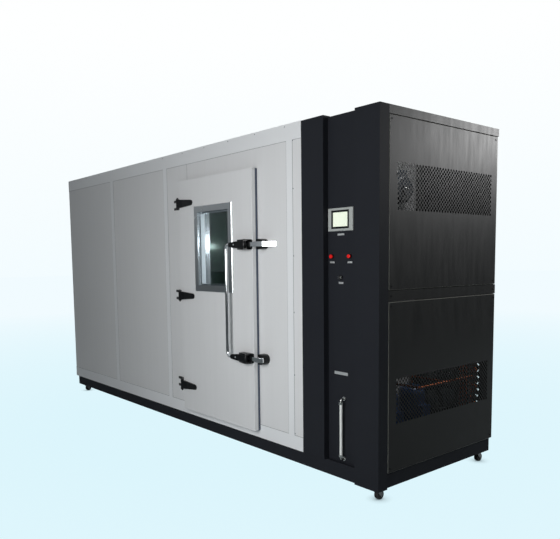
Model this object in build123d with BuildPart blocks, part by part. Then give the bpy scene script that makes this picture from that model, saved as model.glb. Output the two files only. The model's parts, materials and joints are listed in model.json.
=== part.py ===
"""Walk-in environmental test chamber: insulated panel room with a machine cabinet at its right end.

The front of the chamber looks along -Y and +Z is up. The origin is on the floor under the middle of
the whole outline, so X and Y are 0 at its centre and Z is 0 where the castors stand.
Sizes are in millimetres. The room's front wall face is the datum for everything on the door.
"""
from build123d import *
from math import cos, radians, sin
import os

os.makedirs("parts", exist_ok=True)

# Overall sizes
length = 4680.0
depth = 1290.0
room_height = 2360.0
machine_drop = 8.0
castor_height = 85.0
machine_width = 685.0

# Steel base
base_height = 100.0
base_inset = 18.0
channel_width = 48.0
channel_wall = 6.0
cross_rails = 7
tray_thickness = 3.0

# Insulated room panels and their sheet-metal lining and trims
panel_thickness = 100.0
liner_thickness = 2.0
floor_thickness = 100.0
roof_thickness = 100.0
end_module = 1120.0
door_module = 1680.0
filler_module = 120.0
trim_thickness = 2.0
cap_height = 110.0
cap_lap = 40.0
strip_width = 62.0

# Door leaf, measured from the right edge of the room and from the bottom of the base
leaf_from_machine = 475.0
leaf_width = 1005.0
leaf_height = 1951.0
leaf_above_base = 157.0
leaf_thickness = 31.0
leaf_corner = 8.0
leaf_overlap = 41.0
sill_overlap = 78.0
gasket_thickness = 24.0
gasket_width = 24.0
gasket_inset = 3.0
gasket_gap = 0.3
plug_clearance = 15.0
plug_depth = 70.0
plug_taper = 4.0
jamb_lining = 2.0

# Door window
window_above_leaf = 1033.0
window_width = 525.0
window_height = 690.0
window_border = 50.0
window_proud = 12.0
window_sleeve = 3.0
window_lip = 12.0
pane_thickness = 6.0
pane_setback = 10.0
pane_gap = 40.0
fit_gap = 0.3

# Door hinges
hinge_low = 214.0
hinge_high_margin = 190.0
hinge_pin_offset = 3.0
hinge_pin_proud = 70.0
hinge_pin_radius = 7.0
hinge_pin_overrun = 9.0
hinge_barrel_radius = 12.0
hinge_barrel_height = 52.0
strap_length = 210.0
strap_height = 70.0
strap_tip_height = 44.0
strap_thickness = 14.0
strap_shoulder = 16.0
ear_thickness = 13.0
bracket_foot = 150.0
bracket_foot_thickness = 8.0
bracket_prong = 48.0
bracket_prong_height = 20.0
running_gap = 0.05
side_gap = 0.5

# Linked latches: levers on upright pins, a grip bar between them, and a sliding bolt in each
latch_low = 555.0
latch_high = 1398.0
latch_base_length = 142.0
latch_base_height = 74.0
latch_base_thickness = 8.0
latch_base_edge = 3.0
latch_ear_thickness = 12.0
latch_ear_depth = 60.0
latch_pin_from_edge = 45.0
latch_pin_proud = 43.0
latch_pin_radius = 5.0
pin_head_radius = 10.0
hub_radius = 17.0
lever_reach = 165.0
lever_thickness = 18.0
lever_tip_height = 32.0
lever_shoulder = 88.0
grip_offset = 208.0
grip_proud = 14.0
grip_radius = 14.0
grip_bend = 34.0
grip_wall = 2.0
finger_radius = 28.2
finger_angle = 60.0
finger_tip = 4.5
finger_neck = 5.0
finger_height = 12.0
finger_play = 0.8
bolt_thickness = 14.0
bolt_height = 30.0
bolt_gap = 2.5
bolt_tail = 23.0
bolt_tip_from_edge = 75.0
bolt_nose = 6.0
bolt_flare = 4.0

# Keepers on the wall beside the door
keeper_from_edge = 50.0
keeper_length = 70.0
keeper_height = 74.0
keeper_depth = 60.0
strike_lip = 8.0
strike_web = 12.0
strike_height = 36.0
strike_tail = 95.0
strike_foot = 9.0
bolt_end_gap = 7.0

# Machine cabinet
sheet = 2.0
pan_depth = 20.0
transition_width = 210.0
corner_width = 200.0
control_recess = 45.0
corner_return = 86.0
tube_size = 40.0
tube_wall = 3.0
roof_rim = 52.0
panel_seam = 3.0
side_rear_gap = 10.0
cross_rail_low = 1180.0
cross_rail_high = 1245.0
vent_width = 1060.0
vent_height = 300.0
vent_upper_drop = 622.0
vent_lower = 400.0
vent_pitch = 64.0
vent_hole = 20.0
screw_radius = 6.0
screw_head = 3.0
screw_margin = 28.0
louvre_count = 12
louvre_length = 460.0
louvre_height = 14.0
louvre_pitch = 48.0
louvre_low = 300.0

# Controls on the recessed column
touch_width = 220.0
touch_height = 147.0
touch_low = 1621.0
controls_shift = 22.0
touch_proud = 9.0
touch_border_side = 45.0
touch_border_top = 28.0
touch_edge = 3.0
screen_sink = 3.0
touch_box_depth = 42.0
touch_box_margin = 12.0
button_spacing = 158.0
button_level = 1459.0
button_radius = 11.0
button_cap_radius = 12.0
button_length = 30.0
button_proud = 12.0
button_travel = 4.0
collar_radius = 16.0
collar_proud = 5.0
collar_depth = 26.0
key_level = 1323.0
key_radius = 9.0
key_blade = 20.0
key_blade_thickness = 4.0

# Water gauge
gauge_shift = 8.0
gauge_low = 129.0
gauge_high = 532.0
gauge_standoff = 34.0
gauge_tube_radius = 9.0
gauge_bore = 6.0
gauge_pipe_radius = 7.0
gauge_bend = 12.0
gauge_nut_radius = 14.0
gauge_nut_height = 16.0
gauge_flange = 6.0

# Machines inside
compressor_radius = 95.0
compressor_height = 390.0
compressor_gap = 300.0
compressor_first = 470.0
compressor_from_right = 350.0
compressor_foot = 230.0
compressor_foot_thickness = 8.0
grommet_radius = 14.0
grommet_height = 18.0
stub_radius = 8.0
coil_height = 760.0
coil_thickness = 90.0
coil_low = 130.0
coil_side = 55.0
coil_plate = 4.0
bend_rows = 5
bend_pitch = 64.0
pipe_radius = 8.0
fan_radius = 190.0
fan_hub_radius = 48.0
fan_blades = 5
fan_hub_length = 50.0
blade_thickness = 3.0
blade_pitch = 24.0
shroud_wall = 3.0
shroud_depth = 70.0
shroud_clearance = 6.0
motor_radius = 95.0
motor_ahead = 125.0
motor_drop = 440.0
motor_plate_width = 300.0
motor_plate_height = 620.0
motor_plate_thickness = 5.0
motor_plate_reach = 235.0
motor_behind = 110.0
shaft_radius = 14.0
impeller_radius = 180.0
impeller_width = 110.0
impeller_blades = 10
receiver_radius = 60.0
receiver_height = 300.0

# Air handling inside the room
plenum_depth = 300.0
baffle_bottom_gap = 260.0
baffle_top_gap = 230.0
baffle_flange = 30.0
evaporator_height = 620.0
evaporator_depth = 150.0
evaporator_level = 760.0
heater_level = 1370.0
heater_rod = 8.0
heater_rods = 4
heater_pitch = 34.0
lamp_radius = 75.0
lamp_height = 70.0

# Castors
wheel_radius = 30.0
wheel_width = 32.0
axle_radius = 5.0
fork_trail = 20.0
fork_wall = 4.0
fork_gap = 2.0
head_radius = 26.0
head_height = 12.0
castor_plate = 80.0
castor_plate_thickness = 6.0
castor_inset = 62.0
swivel_gap = 0.5
kingpin_radius = 6.0

# Places that follow from the sizes
x_right = (length + trim_thickness - screw_head) / 2
x_left = x_right - length
handle_reach = gasket_thickness + leaf_thickness + latch_pin_proud + grip_proud + grip_radius
y_front = -(depth + trim_thickness - handle_reach) / 2
y_rear = y_front + depth
z_base = castor_height
z_floor = z_base + base_height
z_room_floor = z_floor + floor_thickness
z_top = z_base + room_height
z_ceiling = z_top - roof_thickness
z_machine = z_top - machine_drop
room_right = x_right - machine_width
y_inner_front = y_front + panel_thickness
y_inner_rear = y_rear - panel_thickness
x_inner_left = x_left + panel_thickness
x_inner_right = room_right - panel_thickness

leaf_right = room_right - leaf_from_machine
leaf_left = leaf_right - leaf_width
leaf_low = z_base + leaf_above_base
leaf_high = leaf_low + leaf_height
leaf_back = y_front - gasket_thickness
leaf_front = leaf_back - leaf_thickness
leaf_centre = (leaf_left + leaf_right) / 2
door_left = leaf_left + leaf_overlap
door_right = leaf_right - leaf_overlap
door_low = leaf_low + sill_overlap
door_high = leaf_high - leaf_overlap


def front_plane(y):
    """Plane facing the front of the chamber, with sketch axes along X and Z."""
    return Plane(origin=(0, y, 0), x_dir=(1, 0, 0), z_dir=(0, -1, 0))


def side_plane(x):
    """Plane facing the right-hand side, with sketch axes along Y and Z."""
    return Plane(origin=(x, 0, 0), x_dir=(0, 1, 0), z_dir=(1, 0, 0))


def block(x, y, z, mode=Mode.ADD):
    """Add or cut a plain block that spans three (low, high) pairs."""
    centre = ((x[0] + x[1]) / 2, (y[0] + y[1]) / 2, (z[0] + z[1]) / 2)
    with Locations(centre):
        Box(x[1] - x[0], y[1] - y[0], z[1] - z[0], mode=mode)


def rectangle(x, z):
    """Draw a rectangle that spans two (low, high) pairs in the sketch in hand."""
    with Locations(((x[0] + x[1]) / 2, (z[0] + z[1]) / 2)):
        Rectangle(x[1] - x[0], z[1] - z[0])


def save(piece, name):
    """Label a finished piece and write its file."""
    piece.part.label = name
    export_step(piece.part, f"parts/{name}.step")


def save_group(pieces, name):
    """Write several separate solids that share one name."""
    group = Compound([solid for piece in pieces for solid in piece.part.solids()])
    group.label = name
    export_step(group, f"parts/{name}.step")


# Base: two long channels, cross channels between them, castor plates and the machine tray
base_front = y_front + base_inset
base_rear = y_rear - base_inset
base_left = x_left + base_inset
base_right = x_right - base_inset
base_pieces = []
for rail_y, facing in ((base_front, 1), (base_rear, -1)):
    with BuildPart() as rail:
        with BuildSketch(side_plane(base_left)):
            with Locations((rail_y + facing * channel_width / 2, z_base + base_height / 2)):
                Rectangle(channel_width, base_height)
            with Locations((rail_y + facing * (channel_width + channel_wall) / 2,
                            z_base + base_height / 2)):
                Rectangle(channel_width - channel_wall, base_height - 2 * channel_wall,
                          mode=Mode.SUBTRACT)
        extrude(amount=base_right - base_left)
        for end_x in (base_left, base_right - channel_wall):
            block((end_x, end_x + channel_wall), tuple(sorted((rail_y, rail_y + facing * channel_width))),
                  (z_base, z_base + base_height))
    base_pieces.append(rail)

cross_low = base_front + channel_width
cross_high = base_rear - channel_width
cross_step = (base_right - base_left - channel_width) / (cross_rails - 1)
for index in range(cross_rails):
    cross_x = base_left + index * cross_step
    with BuildPart() as cross:
        with BuildSketch(Plane(origin=(0, cross_low, 0), x_dir=(1, 0, 0), z_dir=(0, -1, 0))):
            rectangle((cross_x, cross_x + channel_width), (z_base, z_base + base_height))
            with Locations((cross_x + channel_width / 2, z_base + base_height / 2)):
                Rectangle(channel_width - 2 * channel_wall, base_height - 2 * channel_wall,
                          mode=Mode.SUBTRACT)
        extrude(amount=cross_low - cross_high)
    base_pieces.append(cross)

castor_places = {
    "front_left": (base_left + castor_inset, base_front + castor_inset),
    "front_right": (base_right - castor_inset, base_front + castor_inset),
    "rear_left": (base_left + castor_inset, base_rear - castor_inset),
    "rear_right": (base_right - castor_inset, base_rear - castor_inset),
}
for castor_x, castor_y in castor_places.values():
    with BuildPart() as castor_top:
        with BuildSketch(Plane.XY.offset(z_base - castor_plate_thickness)):
            with Locations((castor_x, castor_y)):
                RectangleRounded(castor_plate, castor_plate, leaf_corner)
        extrude(amount=castor_plate_thickness)
        with BuildSketch(Plane.XY.offset(z_base - castor_plate_thickness - head_height)):
            with Locations((castor_x, castor_y)):
                Circle(kingpin_radius)
        extrude(amount=head_height)
    base_pieces.append(castor_top)

with BuildPart() as machine_tray:
    block((room_right, x_right - pan_depth), (y_front + control_recess + pan_depth, y_rear - pan_depth),
          (z_floor, z_floor + tray_thickness))
base_pieces.append(machine_tray)
save_group(base_pieces, "base_frame")

# Insulated floor and roof
with BuildPart() as floor_panel:
    block((x_left, room_right), (y_front, y_rear), (z_floor, z_room_floor))
save(floor_panel, "floor_panel")

joint_1 = x_left + end_module
joint_3 = room_right - filler_module
joint_2 = joint_3 - door_module
roof_edges = (x_left, joint_1, joint_2, joint_3, room_right)
roof_slabs = []
for low, high in zip(roof_edges[:-1], roof_edges[1:]):
    with BuildPart() as slab:
        block((low, high), (y_front, y_rear), (z_ceiling, z_top))
    roof_slabs.append(slab)
save_group(roof_slabs, "roof_panels")

# Plain wall panels: front, rear, left end, and the partition with its shaft and pipe holes
plenum_x = x_inner_right - plenum_depth
motor_y = (y_front + y_rear) / 2
motor_z = z_top - motor_drop
pipe_port = (y_inner_rear - 140.0, z_room_floor + evaporator_level)
port_radius = 34.0
wall_pieces = []
front_spans = ((x_left, joint_1), (joint_1, joint_2), (joint_2, door_left), (joint_3, room_right))
rear_spans = tuple(zip(roof_edges[:-1], roof_edges[1:]))
for low, high in front_spans:
    with BuildPart() as wall:
        block((low, high), (y_front, y_inner_front), (z_room_floor, z_ceiling))
    wall_pieces.append(wall)
for low, high in rear_spans:
    with BuildPart() as wall:
        block((low, high), (y_inner_rear, y_rear), (z_room_floor, z_ceiling))
    wall_pieces.append(wall)
with BuildPart() as end_wall:
    block((x_left, x_inner_left), (y_inner_front, y_inner_rear), (z_room_floor, z_ceiling))
wall_pieces.append(end_wall)
with BuildPart() as partition:
    block((x_inner_right, room_right), (y_inner_front, y_inner_rear), (z_room_floor, z_ceiling))
    with BuildSketch(side_plane(x_inner_right)):
        with Locations((motor_y, motor_z)):
            Circle(shaft_radius + side_gap)
        with Locations(pipe_port):
            Circle(port_radius)
    extrude(amount=panel_thickness, mode=Mode.SUBTRACT)
wall_pieces.append(partition)
save_group(wall_pieces, "wall_panels")

# Door wall panel: header, right jamb and threshold in one piece around the doorway
with BuildPart() as door_wall_panel:
    block((door_left, joint_3), (y_front, y_inner_front), (z_room_floor, z_ceiling))
    block((door_left, door_right), (y_front, y_inner_front), (door_low, door_high), mode=Mode.SUBTRACT)
save(door_wall_panel, "door_wall_panel")

# Stainless lining: one welded tub against all six inner faces, open at the doorway
with BuildPart() as chamber_liner:
    block((x_inner_left, x_inner_right), (y_inner_front, y_inner_rear), (z_room_floor, z_ceiling))
    block((x_inner_left + liner_thickness, x_inner_right - liner_thickness),
          (y_inner_front + liner_thickness, y_inner_rear - liner_thickness),
          (z_room_floor + liner_thickness, z_ceiling - liner_thickness), mode=Mode.SUBTRACT)
    block((door_left, door_right), (y_inner_front, y_inner_front + liner_thickness),
          (door_low, door_high), mode=Mode.SUBTRACT)
    with BuildSketch(side_plane(x_inner_right - liner_thickness)):
        with Locations((motor_y, motor_z)):
            Circle(shaft_radius + side_gap)
        with Locations(pipe_port):
            Circle(port_radius)
    extrude(amount=liner_thickness, mode=Mode.SUBTRACT)
save(chamber_liner, "chamber_liner")

# Stainless lining of the doorway's reveal
with BuildPart() as door_frame:
    with BuildSketch(front_plane(y_inner_front + liner_thickness)):
        rectangle((door_left, door_right), (door_low, door_high))
        offset(amount=-jamb_lining, kind=Kind.INTERSECTION, mode=Mode.SUBTRACT)
    extrude(amount=panel_thickness + liner_thickness)
save(door_frame, "door_frame")

# Edge trims: a folded cap round the top edge and a plain band over the floor panel's edge
trim_front = y_front - trim_thickness
trim_pieces = []
for wall_y, out in ((y_front, -1), (y_rear, 1)):
    with BuildPart() as cap:
        with BuildSketch(side_plane(x_left)):
            with BuildLine():
                Polyline((wall_y, z_top), (wall_y - out * cap_lap, z_top),
                         (wall_y - out * cap_lap, z_top + trim_thickness),
                         (wall_y + out * trim_thickness, z_top + trim_thickness),
                         (wall_y + out * trim_thickness, z_top - cap_height),
                         (wall_y, z_top - cap_height), close=True)
            make_face()
        extrude(amount=room_right - x_left)
    trim_pieces.append(cap)
    with BuildPart() as band:
        block((x_left, room_right), tuple(sorted((wall_y, wall_y + out * trim_thickness))),
              (z_floor, z_room_floor))
    trim_pieces.append(band)
with BuildPart() as end_cap:
    with BuildSketch(front_plane(y_rear)):
        with BuildLine():
            Polyline((x_left, z_top), (x_left, z_top - cap_height),
                     (x_left - trim_thickness, z_top - cap_height), (x_left - trim_thickness, z_top),
                     close=True)
        make_face()
    extrude(amount=depth)
trim_pieces.append(end_cap)

# Cover strips over the panel joints, front and rear
strip_low = z_room_floor
strip_high = z_top - cap_height
with BuildPart() as joint_strips:
    for joint_x in (joint_1, joint_2, joint_3):
        span = (joint_x - strip_width / 2, joint_x + strip_width / 2)
        block(span, (y_front - trim_thickness, y_front), (strip_low, strip_high))
        block(span, (y_rear, y_rear + trim_thickness), (strip_low, strip_high))
trim_pieces.append(joint_strips)
save_group(trim_pieces, "wall_trims")

# Door leaf: overlapping slab with a tapered insulated plug behind it and the window hole
window_low = leaf_low + window_above_leaf
window_high = window_low + window_height
window_x = (leaf_centre - window_width / 2, leaf_centre + window_width / 2)
hole_x = (window_x[0] + window_border - window_sleeve, window_x[1] - window_border + window_sleeve)
hole_z = (window_low + window_border - window_sleeve, window_high - window_border + window_sleeve)
plug_back = leaf_back + plug_depth
with BuildPart() as door_leaf:
    with BuildSketch(front_plane(leaf_back)):
        with Locations((leaf_centre, (leaf_low + leaf_high) / 2)):
            RectangleRounded(leaf_width, leaf_height, leaf_corner)
    extrude(amount=leaf_thickness)
    chamfer(door_leaf.faces().sort_by(Axis.Y)[0].edges(), length=trim_thickness)
    with BuildSketch(Plane(origin=(0, leaf_back, 0), x_dir=(-1, 0, 0), z_dir=(0, 1, 0))):
        with Locations((-(door_left + door_right) / 2, (door_low + door_high) / 2)):
            RectangleRounded(door_right - door_left - 2 * plug_clearance,
                             door_high - door_low - 2 * plug_clearance, leaf_corner)
    extrude(amount=plug_depth, taper=plug_taper)
    block(hole_x, (leaf_front, plug_back), hole_z, mode=Mode.SUBTRACT)
save(door_leaf, "door_leaf")

# Compression gasket round the back of the leaf
with BuildPart() as door_gasket:
    with BuildSketch(front_plane(leaf_back)):
        with Locations((leaf_centre, (leaf_low + leaf_high) / 2)):
            Rectangle(leaf_width - 2 * gasket_inset, leaf_height - 2 * gasket_inset)
        offset(amount=-gasket_width, kind=Kind.INTERSECTION, mode=Mode.SUBTRACT)
    extrude(amount=-(gasket_thickness - gasket_gap - trim_thickness))
save(door_gasket, "door_gasket")

# Window: front frame with a sleeve through the door, a rear frame, two panes and their spacer
with BuildPart() as window_front:
    with BuildSketch(front_plane(leaf_front)):
        rectangle(window_x, (window_low, window_high))
        offset(amount=-window_border, kind=Kind.INTERSECTION, mode=Mode.SUBTRACT)
    extrude(amount=window_proud)
    chamfer(window_front.faces().sort_by(Axis.Y)[0].outer_wire().edges(), length=window_proud / 3)
    with BuildSketch(front_plane(leaf_front)):
        rectangle(hole_x, hole_z)
        offset(amount=-window_sleeve, kind=Kind.INTERSECTION, mode=Mode.SUBTRACT)
    extrude(amount=-(plug_back - leaf_front))
with BuildPart() as window_rear:
    with BuildSketch(front_plane(plug_back)):
        rectangle((window_x[0] + window_lip, window_x[1] - window_lip),
                  (window_low + window_lip, window_high - window_lip))
        offset(amount=window_lip - window_border, kind=Kind.INTERSECTION, mode=Mode.SUBTRACT)
    extrude(amount=-window_proud / 2)

glass_x = (hole_x[0] + window_sleeve, hole_x[1] - window_sleeve)
glass_z = (hole_z[0] + window_sleeve, hole_z[1] - window_sleeve)
pane_faces = (leaf_front + pane_setback, leaf_front + pane_setback + pane_thickness + pane_gap)
pane_pieces = []
for pane_y in pane_faces:
    with BuildPart() as pane:
        block(glass_x, (pane_y, pane_y + pane_thickness), glass_z)
    pane_pieces.append(pane)
save_group(pane_pieces, "window_panes")

with BuildPart() as window_spacer:
    with BuildSketch(front_plane(pane_faces[1])):
        rectangle(glass_x, glass_z)
        offset(amount=-window_lip, kind=Kind.INTERSECTION, mode=Mode.SUBTRACT)
    extrude(amount=pane_gap)
save_group((window_front, window_rear, window_spacer), "window_frame")

# Hinges: strap with a barrel on the leaf, forked bracket on the wall, upright pin
hinge_x = leaf_left - hinge_pin_offset
hinge_y = y_front - hinge_pin_proud
hinge_levels = (leaf_low + hinge_low,
                (leaf_low + hinge_low + leaf_high - hinge_high_margin) / 2,
                leaf_high - hinge_high_margin)
strap_end = hinge_x + strap_length
bracket_ear = hinge_barrel_height / 2 + side_gap
strap_pieces = []
bracket_pieces = []
for level in hinge_levels:
    with BuildPart() as strap:
        with BuildSketch(Plane.XY.offset(level - strap_height / 2)):
            with Locations((hinge_x, hinge_y)):
                Circle(hinge_barrel_radius)
            with BuildLine():
                Polyline((hinge_x, hinge_y + hinge_barrel_radius),
                         (hinge_x + hinge_barrel_radius, leaf_front),
                         (strap_end, leaf_front), (strap_end, leaf_front - strap_thickness / 2),
                         (hinge_x + strap_height, leaf_front - strap_thickness),
                         (hinge_x, hinge_y - hinge_barrel_radius), close=True)
            make_face()
        extrude(amount=strap_height)
        with BuildSketch(front_plane(leaf_front + side_gap)):
            tip_centre = strap_end - strap_tip_height / 2
            with BuildLine():
                Polyline((tip_centre, level + strap_tip_height / 2),
                         (hinge_x + strap_shoulder, level + strap_height / 2),
                         (hinge_x + strap_shoulder, level + hinge_barrel_height / 2),
                         (hinge_x - hinge_barrel_radius, level + hinge_barrel_height / 2),
                         (hinge_x - hinge_barrel_radius, level - hinge_barrel_height / 2),
                         (hinge_x + strap_shoulder, level - hinge_barrel_height / 2),
                         (hinge_x + strap_shoulder, level - strap_height / 2),
                         (tip_centre, level - strap_tip_height / 2))
                ThreePointArc((tip_centre, level - strap_tip_height / 2), (strap_end, level),
                              (tip_centre, level + strap_tip_height / 2))
            make_face()
        extrude(amount=hinge_pin_proud, mode=Mode.INTERSECT)
        with BuildSketch(Plane.XY.offset(level - strap_height / 2)):
            with Locations((hinge_x, hinge_y)):
                Circle(hinge_pin_radius + running_gap)
        extrude(amount=strap_height, mode=Mode.SUBTRACT)
    strap_pieces.append(strap)

    foot_right = hinge_x - hinge_barrel_radius
    foot_left = foot_right - bracket_foot
    with BuildPart() as bracket:
        with BuildSketch(Plane.XY.offset(level - strap_height / 2 - ear_thickness / 2)):
            with Locations((hinge_x, hinge_y)):
                Circle(hinge_barrel_radius + side_gap)
            with BuildLine():
                Polyline((foot_left, y_front), (foot_left, y_front - bracket_foot_thickness),
                         (foot_right - bracket_foot / 2, y_front - bracket_foot_thickness * 2),
                         (hinge_x - hinge_barrel_radius / 2, hinge_y - hinge_barrel_radius),
                         (hinge_x, hinge_y), (foot_right, y_front - gasket_thickness),
                         (foot_right, y_front), close=True)
            make_face()
        extrude(amount=strap_height + ear_thickness)
        block((foot_left, foot_left + bracket_prong), (y_front - hinge_pin_proud, y_front),
              (level - strap_height / 2 - ear_thickness / 2 + bracket_prong_height,
               level + strap_height / 2 + ear_thickness / 2 - bracket_prong_height), mode=Mode.SUBTRACT)
        block((foot_right - hinge_barrel_radius / 2, leaf_right),
              (hinge_y - strap_height, y_front - gasket_thickness),
              (level - bracket_ear, level + bracket_ear), mode=Mode.SUBTRACT)
        pin_half = (strap_height + ear_thickness) / 2 + hinge_pin_overrun
        with BuildSketch(Plane.XY.offset(level - pin_half)):
            with Locations((hinge_x, hinge_y)):
                Circle(hinge_pin_radius)
        extrude(amount=2 * pin_half)
    bracket_pieces.append(bracket)
save_group(strap_pieces, "hinge_straps")
save_group(bracket_pieces, "hinge_brackets")

# Linked latches. Pulling the grip bar turns both levers, and a finger on each hub draws its bolt back.
pivot_x = leaf_right - latch_pin_from_edge
pivot_y = leaf_front - latch_pin_proud
latch_levels = (leaf_low + latch_low, leaf_low + latch_high)
base_x = (leaf_right - fit_gap - latch_base_length, leaf_right - fit_gap)
ear_low = latch_base_height / 2 - latch_ear_thickness
plate_front = leaf_front - latch_base_thickness
bolt_back = plate_front - bolt_gap
bolt_front = bolt_back - bolt_thickness
finger_x = pivot_x + finger_radius * cos(radians(finger_angle))
finger_y = pivot_y + finger_radius * sin(radians(finger_angle))
bolt_tip = leaf_right + bolt_tip_from_edge
latch_base_pieces = []
lever_pieces = []
for name, level in zip(("latch_bolt_lower", "latch_bolt_upper"), latch_levels):
    with BuildPart() as latch_base:
        with BuildSketch(front_plane(leaf_front)):
            with Locations(((base_x[0] + base_x[1]) / 2, level)):
                RectangleRounded(latch_base_length, latch_base_height, latch_ear_thickness)
        extrude(amount=latch_base_thickness)
        for ear_z in (level - latch_base_height / 2, level + ear_low):
            with BuildSketch(Plane.XY.offset(ear_z)):
                with BuildLine():
                    Polyline((base_x[0] + latch_ear_thickness, plate_front),
                             (base_x[1] - latch_ear_thickness, plate_front),
                             (base_x[1] - latch_ear_thickness, pivot_y),
                             (pivot_x + latch_ear_thickness, leaf_front - latch_ear_depth),
                             (pivot_x - latch_ear_thickness, leaf_front - latch_ear_depth),
                             (base_x[0] + latch_ear_thickness, pivot_y), close=True)
                make_face()
                with Locations((pivot_x, pivot_y)):
                    Circle(latch_ear_depth - latch_pin_proud)
            extrude(amount=latch_ear_thickness)
        block((base_x[1] - 2 * latch_ear_thickness, base_x[1] - latch_ear_thickness),
              (bolt_front - side_gap - latch_base_edge, plate_front),
              (level - ear_low, level + ear_low))
        block((base_x[1] - 3 * latch_ear_thickness, base_x[1]),
              (bolt_front - side_gap, bolt_back + side_gap),
              (level - bolt_height / 2 - side_gap, level + bolt_height / 2 + side_gap),
              mode=Mode.SUBTRACT)
        with BuildSketch(Plane.XY.offset(level - latch_base_height / 2)):
            with Locations((pivot_x, pivot_y)):
                Circle(latch_pin_radius)
        extrude(amount=latch_base_height)
        with BuildSketch(Plane.XY.offset(level + latch_base_height / 2)):
            with Locations((pivot_x, pivot_y)):
                Circle(pin_head_radius)
        extrude(amount=latch_base_edge)
    latch_base_pieces.append(latch_base)

    with BuildPart() as lever:
        with BuildSketch(Plane.XY.offset(level - ear_low + side_gap)):
            with Locations((pivot_x, pivot_y)):
                Circle(hub_radius)
        extrude(amount=2 * (ear_low - side_gap))
        with BuildSketch(front_plane(pivot_y + lever_thickness / 2)):
            with BuildLine():
                Polyline((pivot_x, level - ear_low + side_gap),
                         (pivot_x - lever_shoulder, level - ear_low + side_gap),
                         (pivot_x - lever_reach, level - lever_tip_height / 2),
                         (pivot_x - lever_reach, level + lever_tip_height / 2),
                         (pivot_x - lever_shoulder, level + ear_low - side_gap),
                         (pivot_x, level + ear_low - side_gap), close=True)
            make_face()
        extrude(amount=lever_thickness + grip_proud)
        with BuildSketch(Plane.XY.offset(level - ear_low)):
            with BuildLine():
                Polyline((pivot_x + hub_radius, pivot_y + hub_radius),
                         (pivot_x - lever_reach, pivot_y + lever_thickness / 2 - grip_proud / 2),
                         (pivot_x - lever_reach, pivot_y - lever_thickness / 2 - grip_proud),
                         (pivot_x - lever_shoulder, pivot_y - lever_thickness / 2 - grip_proud / 2),
                         (pivot_x, pivot_y - hub_radius),
                         (pivot_x + hub_radius, pivot_y - hub_radius), close=True)
            make_face()
        extrude(amount=2 * ear_low, mode=Mode.INTERSECT)
        with BuildSketch(Plane.XY.offset(level - finger_height / 2)):
            with Locations((finger_x, finger_y)):
                Circle(finger_tip)
            with Locations(((pivot_x + finger_x) / 2, (pivot_y + finger_y) / 2)):
                Rectangle(finger_radius, finger_neck, rotation=finger_angle)
        extrude(amount=finger_height)
        with BuildSketch(Plane.XY.offset(level - latch_base_height)):
            with Locations((pivot_x, pivot_y)):
                Circle(latch_pin_radius + running_gap)
        extrude(amount=2 * latch_base_height, mode=Mode.SUBTRACT)
    lever_pieces.append(lever)

    with BuildPart() as bolt:
        block((finger_x - bolt_tail, bolt_tip), (bolt_front, bolt_back),
              (level - bolt_height / 2, level + bolt_height / 2))
        chamfer(bolt.faces().sort_by(Axis.X)[-1].edges().filter_by(Axis.Z), length=bolt_nose)
        block((finger_x - finger_tip - finger_play, finger_x + finger_tip + finger_play),
              (bolt_front, bolt_back),
              (level - finger_height / 2 - side_gap, level + finger_height / 2 + side_gap),
              mode=Mode.SUBTRACT)
        block((finger_x - finger_tip - bolt_flare, finger_x + finger_tip + bolt_flare),
              (bolt_front, bolt_front + bolt_flare),
              (level - finger_height / 2 - side_gap, level + finger_height / 2 + side_gap),
              mode=Mode.SUBTRACT)
    save(bolt, name)
save_group(latch_base_pieces, "latch_bases")
save_group(lever_pieces, "latch_levers")

# Grip bar: one bent tube whose ends butt against the lever tips
grip_x = pivot_x - grip_offset
grip_y = pivot_y - grip_proud
grip_start = pivot_x - lever_reach
with BuildPart() as handle_bar:
    with BuildLine() as grip_path:
        FilletPolyline((grip_start, grip_y, latch_levels[0]), (grip_x, grip_y, latch_levels[0]),
                       (grip_x, grip_y, latch_levels[1]), (grip_start, grip_y, latch_levels[1]),
                       radius=grip_bend)
    with BuildSketch(Plane(origin=(grip_start, grip_y, latch_levels[0]), z_dir=(-1, 0, 0))):
        Circle(grip_radius)
    sweep()
save(handle_bar, "handle_bar")

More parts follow.
